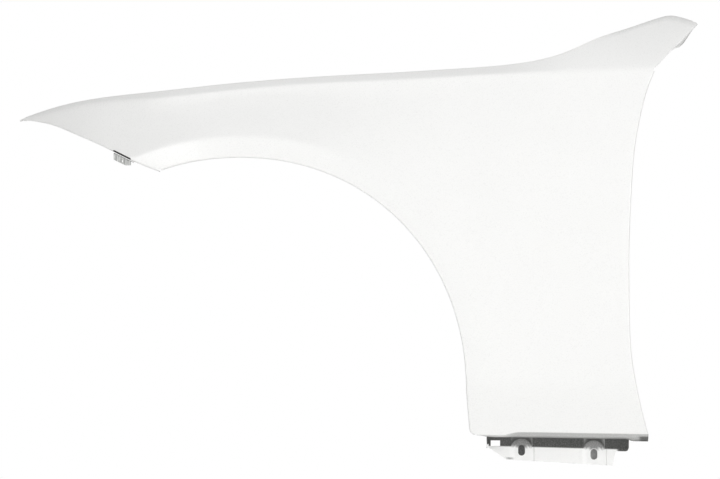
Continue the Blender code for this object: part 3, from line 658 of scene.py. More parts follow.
def crease_end():
    """Where the crease meets the door edge, found the same way."""
    x = DOOR_EDGE_REACH
    for _ in range(20):
        x = float(door_edge(shoulder_height(x))) - EDGE_BEND
    return x, float(shoulder_height(x))


def side_edges():
    """Both ends of every spoke as (x, z), and how many spokes the nose and the shoulder have."""
    corner = front_edge(1.0)
    corner_x = shoulder_place(math.atan2(corner[1], corner[0]))
    top_x, top_z = crease_end()
    breaks = [LEDGE_START, LEDGE_END, *(PAD_PLACES - PAD_HALF), *(PAD_PLACES + PAD_HALF)]
    nose_x = filled(-NOSE_REACH, corner_x, breaks, NET_PITCH)[:-1]
    over_x = filled(corner_x, top_x, breaks, NET_PITCH)[:-1]
    front = front_edge((nose_x + NOSE_REACH) / (corner_x + NOSE_REACH))
    front[:, 1] += NOSE_LIFT * (1 - ease(nose_x, -NOSE_REACH, NOSE_LIFT_REACH - NOSE_REACH))
    crease = np.concatenate([nose_x, over_x])
    crease = np.stack([crease, shoulder_height(crease)], axis=-1)

    tab = [PILLAR_TAB_HEIGHT - PILLAR_TAB_HALF, PILLAR_TAB_HEIGHT + PILLAR_TAB_HALF]
    quarter = np.linspace(0, math.pi / 2, CORNER_STEPS + 1)
    corner_z = SKIN_BOTTOM + ARCH_CORNER * (1 - np.sin(quarter[::-1]))
    level = np.concatenate([corner_z[:-1], filled(corner_z[-1], top_z, tab, NET_PITCH)])[::-1]
    rear_z = np.where(level < 0, level * (1 - SILL_FALL / SKIN_BOTTOM), level)
    rear = np.stack([door_edge(rear_z) - EDGE_BEND, rear_z], axis=-1)
    rear[0] = top_x, top_z

    outer = np.concatenate([crease[len(nose_x) :], rear])
    level = np.concatenate([crease[len(nose_x) :, 1], level])
    angle = np.arctan2(np.maximum(outer[:, 1], 0), outer[:, 0])
    radius = arch_radius(angle) + EDGE_BEND
    arch = np.stack([radius * np.cos(angle), radius * np.sin(angle)], axis=-1)
    arch[level < 0, 1] = level[level < 0]
    arch[:, 0] += arch_foot(arch[:, 1])
    below = np.clip(SKIN_BOTTOM + ARCH_CORNER - arch[:, 1], 0, ARCH_CORNER)
    arch[:, 0] += ARCH_CORNER - np.sqrt(ARCH_CORNER**2 - below**2)
    inner = np.concatenate([front, arch])
    outer = np.concatenate([crease[: len(nose_x)], outer])
    return inner, outer, len(nose_x), len(crease) + 1


print("the crease meets the door edge at", np.round(crease_end(), 4))

# %% [markdown]
# ### Rows between the ends
#
# Each spoke is cut into rows. The nets of the side and of the shoulder share the crease's points,
# so they join without a gap.


# %% The two nets of the outer skin
def sill_bend(x):
    """The roll along the sill: tight at the arch, and wider from there to the door."""
    return EDGE_BEND + (SILL_BEND - EDGE_BEND) * ease(x, SILL_ROLL_START, SILL_ROLL_FULL)


def lowered(places):
    """A tighter roll starts lower: the lost radius times tan(turn / 2), eased out upward."""
    x, z = places[..., 0], places[..., 1]
    lost = (SILL_BEND - sill_bend(x)) * math.tan(math.pi / 4 - SILL_SLOPE / 2)
    near = 1 - ease(z, SKIN_BOTTOM, SKIN_BOTTOM + 2 * ARCH_CORNER)
    return np.stack([x, z - lost * near], axis=-1)


def side_net():
    """Spokes by rows: shares of the lip near the arch, then shares that crowd at the far end."""
    inner, outer, nose_count, crease_count = side_edges()
    length = np.linalg.norm(outer - inner, axis=1)[:, None]
    angle = np.arctan2(np.maximum(inner[:, 1], 0), inner[:, 0])
    start = np.where(inner[:, 1] > 0, np.hypot(*inner.T), inner[:, 0])
    lip = np.clip(arch_radius(angle) + LIP_WIDTH - start, 0.2 * LIP_WIDTH, LIP_WIDTH)
    lip = np.minimum(lip[:, None], length / 3)
    lip_rows = lip * np.array(LIP_SHARES)
    last = lip_rows[:, -1:]
    far = np.sin(np.linspace(0, math.pi / 2, SIDE_ROWS + 1)[1:]) ** SIDE_CROWDING
    rest = last + (length - last) * far / far[-1]
    share = (np.concatenate([lip_rows, rest], axis=1) / length)[..., None]
    return inner[:, None] + (outer - inner)[:, None] * share, nose_count, crease_count


def shoulder_net(crease):
    """From the crease to the top edge, which leans back into the wing by a power of the way."""
    ramp = np.clip((crease[:, 0] - WING_START) / (crease[-1, 0] - WING_START), 0, 1)
    top_x = crease[:, 0] + (WING_REACH - EDGE_BEND - crease[-1, 0]) * ramp**WING_LEAN_BACK
    top = np.stack([top_x, top_height(top_x) - EDGE_BEND / 4], axis=-1)
    share = (np.linspace(0, 1, BAND_ROWS + 1) ** BAND_CROWDING)[:, None]
    return crease[:, None] + (top - crease)[:, None] * share


places, nose_count, crease_count = side_net()
side = on_skin(lowered(places))
shoulder = on_skin(shoulder_net(places[:crease_count, -1]))
falls = np.linspace(*NOSE_POINT_FALLS, side.shape[1])[:, None]
drawn_out = -NOSE_POINT * (REARWARD + NOSE_POINT_INWARD * OUTBOARD + falls * UPWARD)
side[0] += drawn_out
shoulder[0] += drawn_out[-1]
print("side net", side.shape[:2], "shoulder net", shoulder.shape[:2])

# %% [markdown]
# ## The flanges of the panel
#
# Every free edge of a real pressing is folded in: it stiffens the sheet, hides the raw edge and
# carries the fixings. The arch flange takes the wheel liner's clips, the front flange the bumper,
# the door flange the hinge pillar's bolt, and the one along the sill carries a welded bracket.
# Along the sill the press leaves one flat facet instead of a round bend, and it shows as a grey
# stripe under the white side, partly from its shading and partly from painted shade.

# %% Flanges
ARCH_FLANGE = 0.018
ARCH_FLANGE_END = 0.006
FRONT_FLANGE = 0.012
DOOR_FLANGE = 0.012
WING_FLANGE = 0.010
WING_SPLAY = math.radians(22)
WING_LENS = 0.42
WING_LENS_END = 0.84
SILL_FLANGE = 0.014
SILL_LAP_START = 0.380
SILL_LAP_FULL = 0.405
SILL_END_SLOPE = math.radians(28)
SILL_END_TURN = (0.618, 0.632)
SILL_CORNER = 0.0035
FACET_SHARES = (0, 0.04, 0.25, 0.5, 0.75, 0.92, 0.98, 1)
NOSE_TIP_BEND = 0.0006
NOSE_TIP_REACH = 0.045
PILLAR_HOLE = 0.0045
LINER_HOLE = 0.0035
LINER_ANGLES = (14, 38, 62, 84, 102)


def sill_strip(sill):
    """The flange along the sill. Its bend gives way to a facet: start + share * (end - start)."""
    width = SILL_FLANGE * ease(sill[:, 0], SILL_LAP_START, SILL_LAP_FULL)
    slope = SILL_SLOPE + (SILL_END_SLOPE - SILL_SLOPE) * ease(sill[:, :1], *SILL_END_TURN)
    run = -np.cos(slope) * OUTBOARD - np.sin(slope) * UPWARD
    strip = flange(sill, -UPWARD, run, width, sill_bend(sill[:, 0]), strips=2)
    bend = strip[:, : BEND_STEPS + 1]
    facet = bend[:, :1] + (bend[:, -1:] - bend[:, :1]) * np.array(FACET_SHARES)[:, None]
    bend += (facet - bend) * ease(sill[:, 0], SILL_ROLL_START, SILL_ROLL_FULL)[:, None, None]
    strip[-1, 1:] += SILL_CORNER * REARWARD
    return strip


nets = [side, shoulder]
front = side[: nose_count + 1, 0]
from_tip = ease(front[:, 0], -NOSE_REACH, NOSE_TIP_REACH - NOSE_REACH)
front_bend = NOSE_TIP_BEND + (EDGE_BEND - NOSE_TIP_BEND) * from_tip
nets.append(flange(front, -UPWARD, -OUTBOARD, FRONT_FLANGE, front_bend))

arch = side[nose_count + 1 : -1, 0]
to_centre = -arch * [1, 0, 1]
to_centre[arch[:, 2] < 0] = -REARWARD
above_corner = ease(arch[:, 2], SKIN_BOTTOM + ARCH_CORNER, SKIN_BOTTOM + 4 * ARCH_CORNER)
arch_width = ARCH_FLANGE_END + (ARCH_FLANGE - ARCH_FLANGE_END) * above_corner
nets.append(flange(arch, to_centre, -OUTBOARD, arch_width, strips=3))

sill = side[-1]
nets.append(sill_strip(sill))

door = side[crease_count:-1, -1]
from_tab = np.abs(door[:, 2] - PILLAR_TAB_HEIGHT)
on_tab = 1 - ease(from_tab, PILLAR_TAB_HALF, PILLAR_TAB_HALF + DOOR_FLANGE)
nets.append(flange(door, REARWARD, -OUTBOARD, DOOR_FLANGE + PILLAR_TAB * on_tab, strips=3))

wing = shoulder[-1, 1:]
wing_way = np.linalg.norm(wing - shoulder[-1, 0], axis=1) / np.linalg.norm(wing[-1] - shoulder[-1, 0])
lens_way = np.clip((wing_way - WING_LENS) / (WING_LENS_END - WING_LENS), 0, 1)
lens = np.sin(math.pi * lens_way)
wing_bend = EDGE_BEND * (0.4 + 0.6 * ease(wing_way, WING_LENS, 1.3 * WING_LENS))
rear_down = (REARWARD - UPWARD) / math.sqrt(2)
splayed = -math.cos(WING_SPLAY) * OUTBOARD + math.sin(WING_SPLAY) * rear_down
nets.append(flange(wing, rear_down, splayed, WING_FLANGE * lens, wing_bend, strips=2))

print(len(nets), "nets for the skin and its flanges")

# %% [markdown]
# ### Ledge, holes and the finished panel
#
# The top edge rolls over into the bonnet ledge, and where there is no ledge a plain gutter wall
# hangs from it. Then the bolt pads, the arch flange and the pillar tab are punched.

# %% The finished panel
roll = top_bend(shoulder[1:-1, -1])
foot = roll[:, -1]
on_ledge = (foot[:, 0] > LEDGE_START - 1e-6) & (foot[:, 0] < LEDGE_END + 1e-6)
nets += [roll, bonnet_ledge(foot[on_ledge])]
ledge_x = foot[on_ledge, 0]
front_wall = foot[(foot[:, 0] > WALL_START) & (foot[:, 0] < ledge_x[0])][:-1]
wing_wall = foot[(foot[:, 0] > ledge_x[-1]) & (foot[:, 0] < WING_WALL_END)][1:]
nets += [np.stack([wall, wall - WING_WALL * UPWARD], axis=1) for wall in (front_wall, wing_wall)]

punches = [(pad_middle(place), UPWARD, PAD_HOLE, 8 * SHEET, 0) for place in PAD_PLACES]
for degrees in LINER_ANGLES:
    angle = math.radians(degrees)
    spoke = np.array([math.cos(angle), 0, math.sin(angle)])
    centre = on_skin(spoke[[0, 2]] * (arch_radius(angle) + EDGE_BEND))
    centre = centre - OUTBOARD * (EDGE_BEND + ARCH_FLANGE / 2)
    punches.append((centre, spoke, LINER_HOLE, 16 * SHEET, 0))
pillar_x = float(door_edge(PILLAR_TAB_HEIGHT)) - EDGE_BEND
pillar_depth = EDGE_BEND + DOOR_FLANGE + PILLAR_TAB / 2
pillar = on_skin(np.array([pillar_x, PILLAR_TAB_HEIGHT])) - OUTBOARD * pillar_depth
punches.append((pillar, REARWARD, PILLAR_HOLE, 16 * SHEET, 0))

panel = punched_sheet("pressed_panel", nets, OUTBOARD, punch_mesh(punches))

# %% [markdown]
# ## The sill bracket
#
# Under the lower edge hangs a folded bracket. It starts on the sill flange, runs inboard and
# down, and turns into an upright foot with two slots for the sill bolts. Round each slot a pad is
# pressed back, with a domed niche above it, and a window is cut through at the front. First come
# its sizes and the two slopes that its folds follow.

# %% Sizes of the sill bracket
WELD_GAP = 0.0004
BRACKET_INSET = 0.030
BRACKET_LAP = 0.008
BRACKET_DEPTH = 0.038
BRACKET_FALL = 0.0155
BRACKET_SLOPE = 0.027
BRACKET_BEND = 0.004
BRACKET_FLAP = 0.014
FOOT_DROP = 0.0380
FOOT_SLOPE = 0.0565
FOOT_CHAMFER = 0.029
FOOT_LIP = 0.0032
BRACKET_ROUND = 0.006
FOOT_STEP = 0.005
FOOT_MARGIN = 0.026
SLOT_PAD_INSETS = (0.053, 0.056)
SLOT_PAD_HALF = 0.021
SLOT_PAD_WALL = 0.002
SLOT_PAD_RAMP = 0.012
SLOT_PAD_RECESS = 0.002
SLOT_NICHE_HALF = 0.0170
SLOT_NICHE_RISE = 0.013
NICHE_ROUNDING = 0.8
SLOT_RISE = 0.0165
SLOT_HALF_WIDTH = 0.0055
SLOT_HALF_HEIGHT = 0.0085
WINDOW_LENGTH = 0.015
WINDOW_HEIGHT = 0.0092
WINDOW_INSET = 0.004
WINDOW_DROP = 0.0080
# The dark leaves behind the slots are painted shade: dark sheets where the slots show shade.
SHADE_LEAF_GAP = 0.009
SHADE_LEAF_MARGIN = 0.003
BRACKET_PITCH = 0.0016
BRACKET_START = ARCH_REACH + ARCH_LEAN + BRACKET_INSET
BRACKET_END = DOOR_EDGE_REACH
FOOT_END = BRACKET_END - FOOT_MARGIN
SLOT_PLACES = np.array([BRACKET_START + SLOT_PAD_INSETS[0], BRACKET_END - SLOT_PAD_INSETS[1]])


def corner_height(x):
    """The height where return and foot would meet unbent: a straight slope, rounded off behind."""
    past = np.clip(x - BRACKET_END + BRACKET_ROUND, 0, BRACKET_ROUND)
    rounded = BRACKET_ROUND - np.sqrt(BRACKET_ROUND**2 - past**2)
    return -SILL_DROP - BRACKET_FALL - BRACKET_SLOPE * (x - BRACKET_START) + rounded


def foot_bottom(x):
    """The foot's lower edge: a straight slope, cut off slantwise in front and stepped up behind."""
    full = -SILL_DROP - FOOT_DROP - FOOT_SLOPE * (x - BRACKET_START - FOOT_CHAMFER)
    short = corner_height(x) - FOOT_LIP
    from_front = (x - BRACKET_START) / FOOT_CHAMFER
    from_rear = (FOOT_END + FOOT_STEP - x) / FOOT_STEP
    return short + (full - short) * np.clip(np.minimum(from_front, from_rear), 0, 1)


print("slots at", SLOT_PLACES, "on a foot that ends at", round(FOOT_END, 4))

# %% [markdown]
# ### Its folds as one net
#
# Pads and niches are pressed into the sheet, so they only push rows of the net about. Each column
# knows how far it is from the nearest slot, and the corner between return and foot moves with it.

# %% The folded net
halves = (SLOT_PAD_HALF, SLOT_PAD_HALF - SLOT_PAD_WALL, SLOT_NICHE_HALF)
breaks = [place + way * half for place in SLOT_PLACES for half in halves for way in (-1, 1)]
breaks += [BRACKET_START + FOOT_CHAMFER, FOOT_END, FOOT_END + FOOT_STEP]
x = filled(BRACKET_START, BRACKET_END, breaks, BRACKET_PITCH)
from_slot = np.min(np.abs(x[:, None] - SLOT_PLACES), axis=1)
ahead = np.any((x[:, None] < SLOT_PLACES) & (x[:, None] > SLOT_PLACES - SLOT_PAD_HALF), axis=1)
wall = np.where(ahead, SLOT_PAD_RAMP, SLOT_PAD_WALL)
on_pad = 1 - ease(from_slot, SLOT_PAD_HALF - wall, SLOT_PAD_HALF)
dome = np.clip(1 - (from_slot / SLOT_NICHE_HALF) ** 2, 0, 1) ** NICHE_ROUNDING

sill_share = (x - ARCH_REACH - ARCH_LEAN) / (door_edge(SKIN_BOTTOM) - ARCH_REACH - ARCH_LEAN)
edge = on_skin(np.stack([x, SKIN_BOTTOM - SILL_FALL * sill_share], axis=-1))
sill_run = -math.cos(SILL_SLOPE) * OUTBOARD - math.sin(SILL_SLOPE) * UPWARD
lift = -math.sin(SILL_SLOPE) * OUTBOARD + math.cos(SILL_SLOPE) * UPWARD
outward, along = edge_outward(edge, -UPWARD)
level_run = unit(sill_run - dot(along, sill_run) * along)
sill_foot = bend_rows(edge, outward, level_run, SILL_BEND)[:, -1]
start = sill_foot + sill_run * (SILL_FLANGE - BRACKET_LAP) + lift * (SHEET + WELD_GAP)

lap_end = start + sill_run * (BRACKET_LAP + SHEET)
foot_depth = np.max(edge[:, 1]) + BRACKET_DEPTH
corner_z = corner_height(x) + SLOT_NICHE_RISE * dome
corner = np.stack([x, foot_depth + SLOT_PAD_RECESS * on_pad, corner_z], axis=-1)
fall = unit(corner - lap_end)
down = np.broadcast_to(-UPWARD, fall.shape)
bend_start = corner - fall * BRACKET_BEND * np.tan(np.arccos(dot(fall, down)) / 2)
share = np.linspace(0, 1, 9)[:, None]
back = lap_end[:, None] + (bend_start - lap_end)[:, None] * share
bend = bend_rows(bend_start, fall, down, BRACKET_BEND)
bottom = np.stack([x, bend[:, -1, 1], foot_bottom(x)], axis=-1)
upright = bend[:, -1:] + (bottom - bend[:, -1])[:, None] * share
upright = np.concatenate([bend, upright[:, 1:]], axis=1)

flap_edge, flap_down = back[0, :-1], down[:8]
flap_turn = bend_rows(flap_edge, np.broadcast_to(-REARWARD, flap_edge.shape), flap_down, BRACKET_BEND / 2)
flap_width = np.linspace(BRACKET_FLAP, BRACKET_FLAP / 3, len(flap_edge))[:, None]
flap = np.concatenate([flap_turn, (flap_turn[:, -1] + flap_down * flap_width)[:, None]], axis=1)
back = np.concatenate([start[:, None], back], axis=1)
print("net of the return", back.shape[:2], "net of the foot", upright.shape[:2])

# %% [markdown]
# ### Slots, window and the dark leaves behind the slots
#
# The slots and the window are punched through the finished sheet. Seen from outside the slots
# are dark with the shade behind them. Here a small dark leaf with a shelf stands behind each
# slot as painted shade, far enough back to leave the bolt its room.

# %% Punches and the dark leaves behind the slots
slot_y = foot_depth + SLOT_PAD_RECESS
slot_z = foot_bottom(SLOT_PLACES) + SLOT_RISE
stretch = SLOT_HALF_HEIGHT - SLOT_HALF_WIDTH
middles = [(slot_x, slot_y, middle) for slot_x, middle in zip(SLOT_PLACES, slot_z)]
punch = punch_mesh([(middle, OUTBOARD, SLOT_HALF_WIDTH, 8 * SHEET, stretch) for middle in middles])
window_low = start[0] + [WINDOW_INSET, 0, -WINDOW_DROP - WINDOW_HEIGHT]
window = np.array([WINDOW_LENGTH, BRACKET_DEPTH, WINDOW_HEIGHT])
place = Matrix.Translation(window_low + window / 2) @ Matrix.Diagonal((*window, 1))
bmesh.ops.create_cube(punch, size=1, matrix=place)
bracket = punched_sheet("folded_sill_bracket", [back, upright, flap], -UPWARD, punch)

# Behind each slot a dark leaf with a shelf, as painted shade seen through the slot.
mesh = bmesh.new()
mesh.from_mesh(bracket.data)
width, height = 2 * (SLOT_HALF_WIDTH + SHADE_LEAF_MARGIN), 2 * (SLOT_HALF_HEIGHT + SHADE_LEAF_MARGIN)
for middle in middles:
    leaf = -SHADE_LEAF_GAP * OUTBOARD, (width, SHEET, height)
    shelf_place = -(SHADE_LEAF_GAP + SHEET) / 2 * OUTBOARD + (height - SHEET) / 2 * UPWARD
    shelf = shelf_place, (width, SHADE_LEAF_GAP - SHEET, SHEET)
    for offset, size in (leaf, shelf):
        place = Matrix.Translation(wheel_centre + middle + offset) @ Matrix.Diagonal((*size, 1))
        bmesh.ops.create_cube(mesh, size=1, matrix=place)
mesh.to_mesh(bracket.data)
mesh.free()
print("guards of", round(width * 1000), "by", round(height * 1000), "mm behind the slots")

# %% [markdown]
# ## The bumper bracket
#
# In front of the arch a thumbnail-sized angle is welded under the front flange. Its leg hangs
# down, with a clipped corner and a small hole. It is the only piece that kept its grey primer.
# A bead of black sealer closes the joint along the fender's edge: a thin rod of rings, which
# narrows at both ends.

# %% The small angle under the nose
TAB_FROM_ARCH = 0.0585
TAB_LENGTH = 0.036
TAB_SETBACK = 0.002
TAB_DROP = 0.0090
TAB_BEND = 0.002
TAB_CORNER = 0.5
TAB_HOLE = 0.0015
BEAD_RADIUS = 0.0013
BEAD_FLATNESS = 0.8
BEAD_FALL = 0.0009
BEAD_RINGS = ((0, 0.5), (0.03, 1), (0.5, 1), (0.97, 1), (1, 0.5))

tab_x = np.array([-0.5, 0, 0.5]) * TAB_LENGTH - ARCH_FRONT - TAB_FROM_ARCH
edge = on_skin(front_edge((tab_x + NOSE_REACH) / (NOSE_REACH - ARCH_FRONT)))
along = unit(edge[2] - edge[0])
outward = edge_outward(edge, -UPWARD)[0][1]
run = unit(-OUTBOARD + dot(OUTBOARD, along) * along)
fold = bend_rows(edge[1:2], outward[None], run[None], EDGE_BEND)[0, -1]
under = np.cross(along, run)
under = under * np.sign(dot(under, outward))

columns = np.linspace(-0.5, 0.5, 13)[:, None]
face = fold + under * (SHEET / 2 + WELD_GAP) + along * TAB_LENGTH * columns
weld_start = face + run * (TAB_SETBACK + TAB_BEND)
down = np.broadcast_to(-UPWARD, face.shape)
bend = bend_rows(weld_start, np.broadcast_to(-run, face.shape), down, TAB_BEND)
clipped = np.clip((columns - 0.2) / 0.3, 0, 1)
drop = TAB_DROP * (1 + (TAB_CORNER - 1) * clipped)[:, None]
leg = bend[:, -1:] + down[:, None] * drop * np.linspace(0, 1, 6)[1:, None]
net = np.concatenate([(face + run * FRONT_FLANGE)[:, None], bend, leg], axis=1)
centre = bend[6, -1] - UPWARD * TAB_DROP / 2
punch = punch_mesh([(centre, np.cross(along, UPWARD), TAB_HOLE, 8 * SHEET, 0)], 24)
tab = punched_sheet("welded_bumper_angle", [net], -under, punch)

turn = np.linspace(0, 2 * math.pi, 13)[:-1, None]
ring = BEAD_RADIUS * (np.cos(turn) * OUTBOARD * BEAD_FLATNESS + np.sin(turn) * UPWARD)
bead_start = edge[1] - along * TAB_LENGTH / 2 - UPWARD * BEAD_FALL + wheel_centre
mesh = bmesh.new()
mesh.from_mesh(tab.data)
rings = []
for share, swell in BEAD_RINGS:
    middle = bead_start + along * TAB_LENGTH * share
    rings.append([mesh.verts.new(middle + spoke * swell) for spoke in ring])
for low, high in zip(rings, rings[1:]):
    for k in range(len(turn)):
        mesh.faces.new((low[k], low[k - 1], high[k - 1], high[k]))
mesh.faces.new(rings[0])
mesh.faces.new(rings[-1][::-1])
mesh.normal_update()
mesh.to_mesh(tab.data)
mesh.free()
print("a bead of sealer of", len(rings), "rings")

# %% [markdown]
# ## Gloss white over dark primer
#
# The whole fender is dipped in an almost black electro-dip primer. The white coat is sprayed
# from outside, so it is full on every face that looks outboard and thins to a dusting on faces
# that look down or into the car. Where the gun's fan reached is worked out once for every
# corner of the mesh, from which way its face looks, and is kept as an attribute. A material
# reads it and breaks its edge up with noise, as real overspray is speckled. A few places are
# darker than the rule says, and they are named one by one: the facet along the sill, its folded
# rear end and the line along the wing's top carry painted shade, the edge beside the sealer is
# thinner, and the foot has a dark mark.

# %% How much white paint reached each face
SPRAY_FROM = -0.45
SPRAY_FULL = -0.05
# Painted shade on the sill facet: its white cover is lowered where it looks down.
FACET_SHADE_COVER = 0.60
FACET_EDGE = (0.0001, 0.0006)
FACET_SHADE_LEAD = 0.010
# Painted shade in the folded rear end of the sill flange.
END_FOLD_START = (0.636, 0.643)
END_FOLD_DROP = (0.0035, 0.0055)
END_FOLD_SHADE = 0.8
SEALED_DEPTH = (-0.0018, -0.0009)
SEALED_BARE = 0.4
SEALED_REACH = 0.6
# Painted shade along the rolled top edge of the wing.
TOP_LINE_DEPTH = (-0.0045, -0.0015)
TOP_LINE_START = (0.570, 0.620)
TOP_LINE_SHADE = 0.16
WING_EDGE_START = (0.680, 0.690)
WING_EDGE_HEIGHT = (0.515, 0.530)
WING_EDGE_FACING = (-0.75, -0.45)
WING_EDGE_COVER = 0.42
NOSE_TIP_COVERED = (0.004, 0.008)


def keep_spray_and_shade(piece, spray_and_shade):
    """Writes one number for each point: how much of the white coat reached it, lowered in places as
    painted shade.
    """
    layer = piece.data.attributes.new("spray_and_shade", "FLOAT", "POINT")
    layer.data.foreach_set("value", np.asarray(spray_and_shade, np.float32))


def from_slots(points):
    """How far along the car each point is from the nearest slot."""
    return np.min(np.abs(points[:, :1] - SLOT_PLACES), axis=1)


def points_and_normals(piece):
    """Every point of a mesh and the direction in which the surface looks there."""
    count = len(piece.data.vertices)
    points, normals = np.empty(count * 3), np.empty(count * 3)
    piece.data.vertices.foreach_get("co", points)
    piece.data.vertex_normals.foreach_get("vector", normals)
    return points.reshape(-1, 3) - wheel_centre, normals.reshape(-1, 3)


# The attribute holds the white coat's reach, lowered in a few places as painted shade.
points, normals = points_and_normals(panel)
spray_and_shade = ease(dot(normals, OUTBOARD)[:, 0], SPRAY_FROM, SPRAY_FULL)
x, z = points[:, 0], points[:, 2]
outward_face = dot(normals, OUTBOARD)[:, 0]
under_skin = np.interp(x, sill[:, 0], sill[:, 2]) - z
# Painted shade: the white on the down-looking sill facet is held to 60 percent.
facet_shade = ease(under_skin, *FACET_EDGE) * ease(x, SILL_ROLL_START, SILL_ROLL_FULL - FACET_SHADE_LEAD)
# Painted shade: the folded rear end of the sill flange is darkened.
end_fold_shade = ease(x, *END_FOLD_START) * ease(under_skin, *END_FOLD_DROP)
near_tab = np.linalg.norm(points - fold, axis=1) < SEALED_REACH * TAB_LENGTH
sealed = ease(dot(points - fold, under)[:, 0], *SEALED_DEPTH) * near_tab
# Painted shade: a darker line along the wing's top edge.
top_line_shade = ease(z - top_height(x), *TOP_LINE_DEPTH) * ease(x, *TOP_LINE_START)
spray_and_shade = spray_and_shade * (1 - (1 - FACET_SHADE_COVER) * facet_shade) * (1 - END_FOLD_SHADE * end_fold_shade)
spray_and_shade = spray_and_shade * (1 - SEALED_BARE * sealed) * (1 - TOP_LINE_SHADE * top_line_shade)
wing_edge = ease(x, *WING_EDGE_START) * ease(z, *WING_EDGE_HEIGHT) * ease(outward_face, *WING_EDGE_FACING)
tip_low, tip_high = np.array(NOSE_TIP_COVERED) - NOSE_REACH
spray_and_shade = np.maximum(spray_and_shade, WING_EDGE_COVER * wing_edge)
spray_and_shade = np.maximum(spray_and_shade, 1 - ease(x, tip_low, tip_high))
keep_spray_and_shade(panel, spray_and_shade)
print("points with full white on the panel:", int((spray_and_shade > 0.99).sum()))

# %% [markdown]
# ### Paint on the sill bracket
# The bracket hangs in the panel's shadow, so only its upright foot caught the white coat. The
# return above it stayed dark. The niches under the return are greyed as painted shade, the dark
# leaves behind the slots are painted shade, and the foot has a dark mark at its lower front edge.

# %% Where the bracket is white
FOOT_FACING = (0.3, 0.6)
FOOT_PAINT_TOP = 0.001
FOOT_PAINT_RAMP = 0.0025
# Painted shade in the niches under the return.
NICHE_SHADE_COVER = 0.22
RETURN_DUST = 0.02
# Paint cover on the dark leaves behind the two slots, which are painted shade.
SHADE_LEAF_COVER = (0.12, 0.45)
# A dark mark at the lower front edge of the foot.
DARK_MARK_PLACE = (0.432, -0.1066)
DARK_MARK_HALF = (0.006, 0.0013)
DARK_MARK_STRENGTH = 0.8

points, normals = points_and_normals(bracket)
x, y, z = points.T
facing = ease(dot(normals, OUTBOARD)[:, 0], *FOOT_FACING)
below = ease(corner_height(x) + FOOT_PAINT_TOP - z, 0, FOOT_PAINT_RAMP)
on_foot = below * (1 - ease(x, FOOT_END + FOOT_STEP, FOOT_END + 2 * FOOT_STEP))
# A dark mark at the foot's lower front edge: less white cover there.
dark_mark = np.exp(-(((points[:, [0, 2]] - DARK_MARK_PLACE) / DARK_MARK_HALF) ** 2).sum(axis=1))
# Painted shade: the niches under the return get a low white cover.
niche_shade = NICHE_SHADE_COVER * (from_slots(points) < SLOT_NICHE_HALF)
front = facing * (np.maximum(on_foot, niche_shade) - DARK_MARK_STRENGTH * dark_mark) + RETURN_DUST
behind = ease(y, slot_y + 2 * SHEET, slot_y + 3 * SHEET)
# Painted shade: the leaves behind the slots get only a low white cover.
shade_leaf_cover = np.where(x < SLOT_PLACES.mean(), *SHADE_LEAF_COVER) * (y < slot_y + SHADE_LEAF_GAP)
keep_spray_and_shade(bracket, front * (1 - behind) + shade_leaf_cover * behind)
print("points with full white on the foot:", int((on_foot > 0.99).sum()))

# %% [markdown]
# ### The paint itself
#
# Car paint is a colour coat under clear lacquer, so the shader has a coat over a rougher base.
# One function makes the paint, because the bracket has the same one, only rougher.

# %% Gloss white car paint
# White two-coat car paint, sprayed over electro-dip primer. The eye sees an even, slightly warm
# white with a hard clear gloss, and a faint orange peel where the lacquer didn't flow out.
ORANGE_PEEL = 0.0011
OVERSPRAY_GRAIN = 0.0016
OVERSPRAY_SPREAD = 0.35
PEEL_STRENGTH = 0.05
PEEL_DEPTH = 0.0002
PRIMER_ROUGHNESS = 0.55
BODY_ROUGHNESS = 0.30
BRACKET_ROUGHNESS = 0.45
LACQUER = 0.25
LACQUER_ROUGHNESS = 0.06


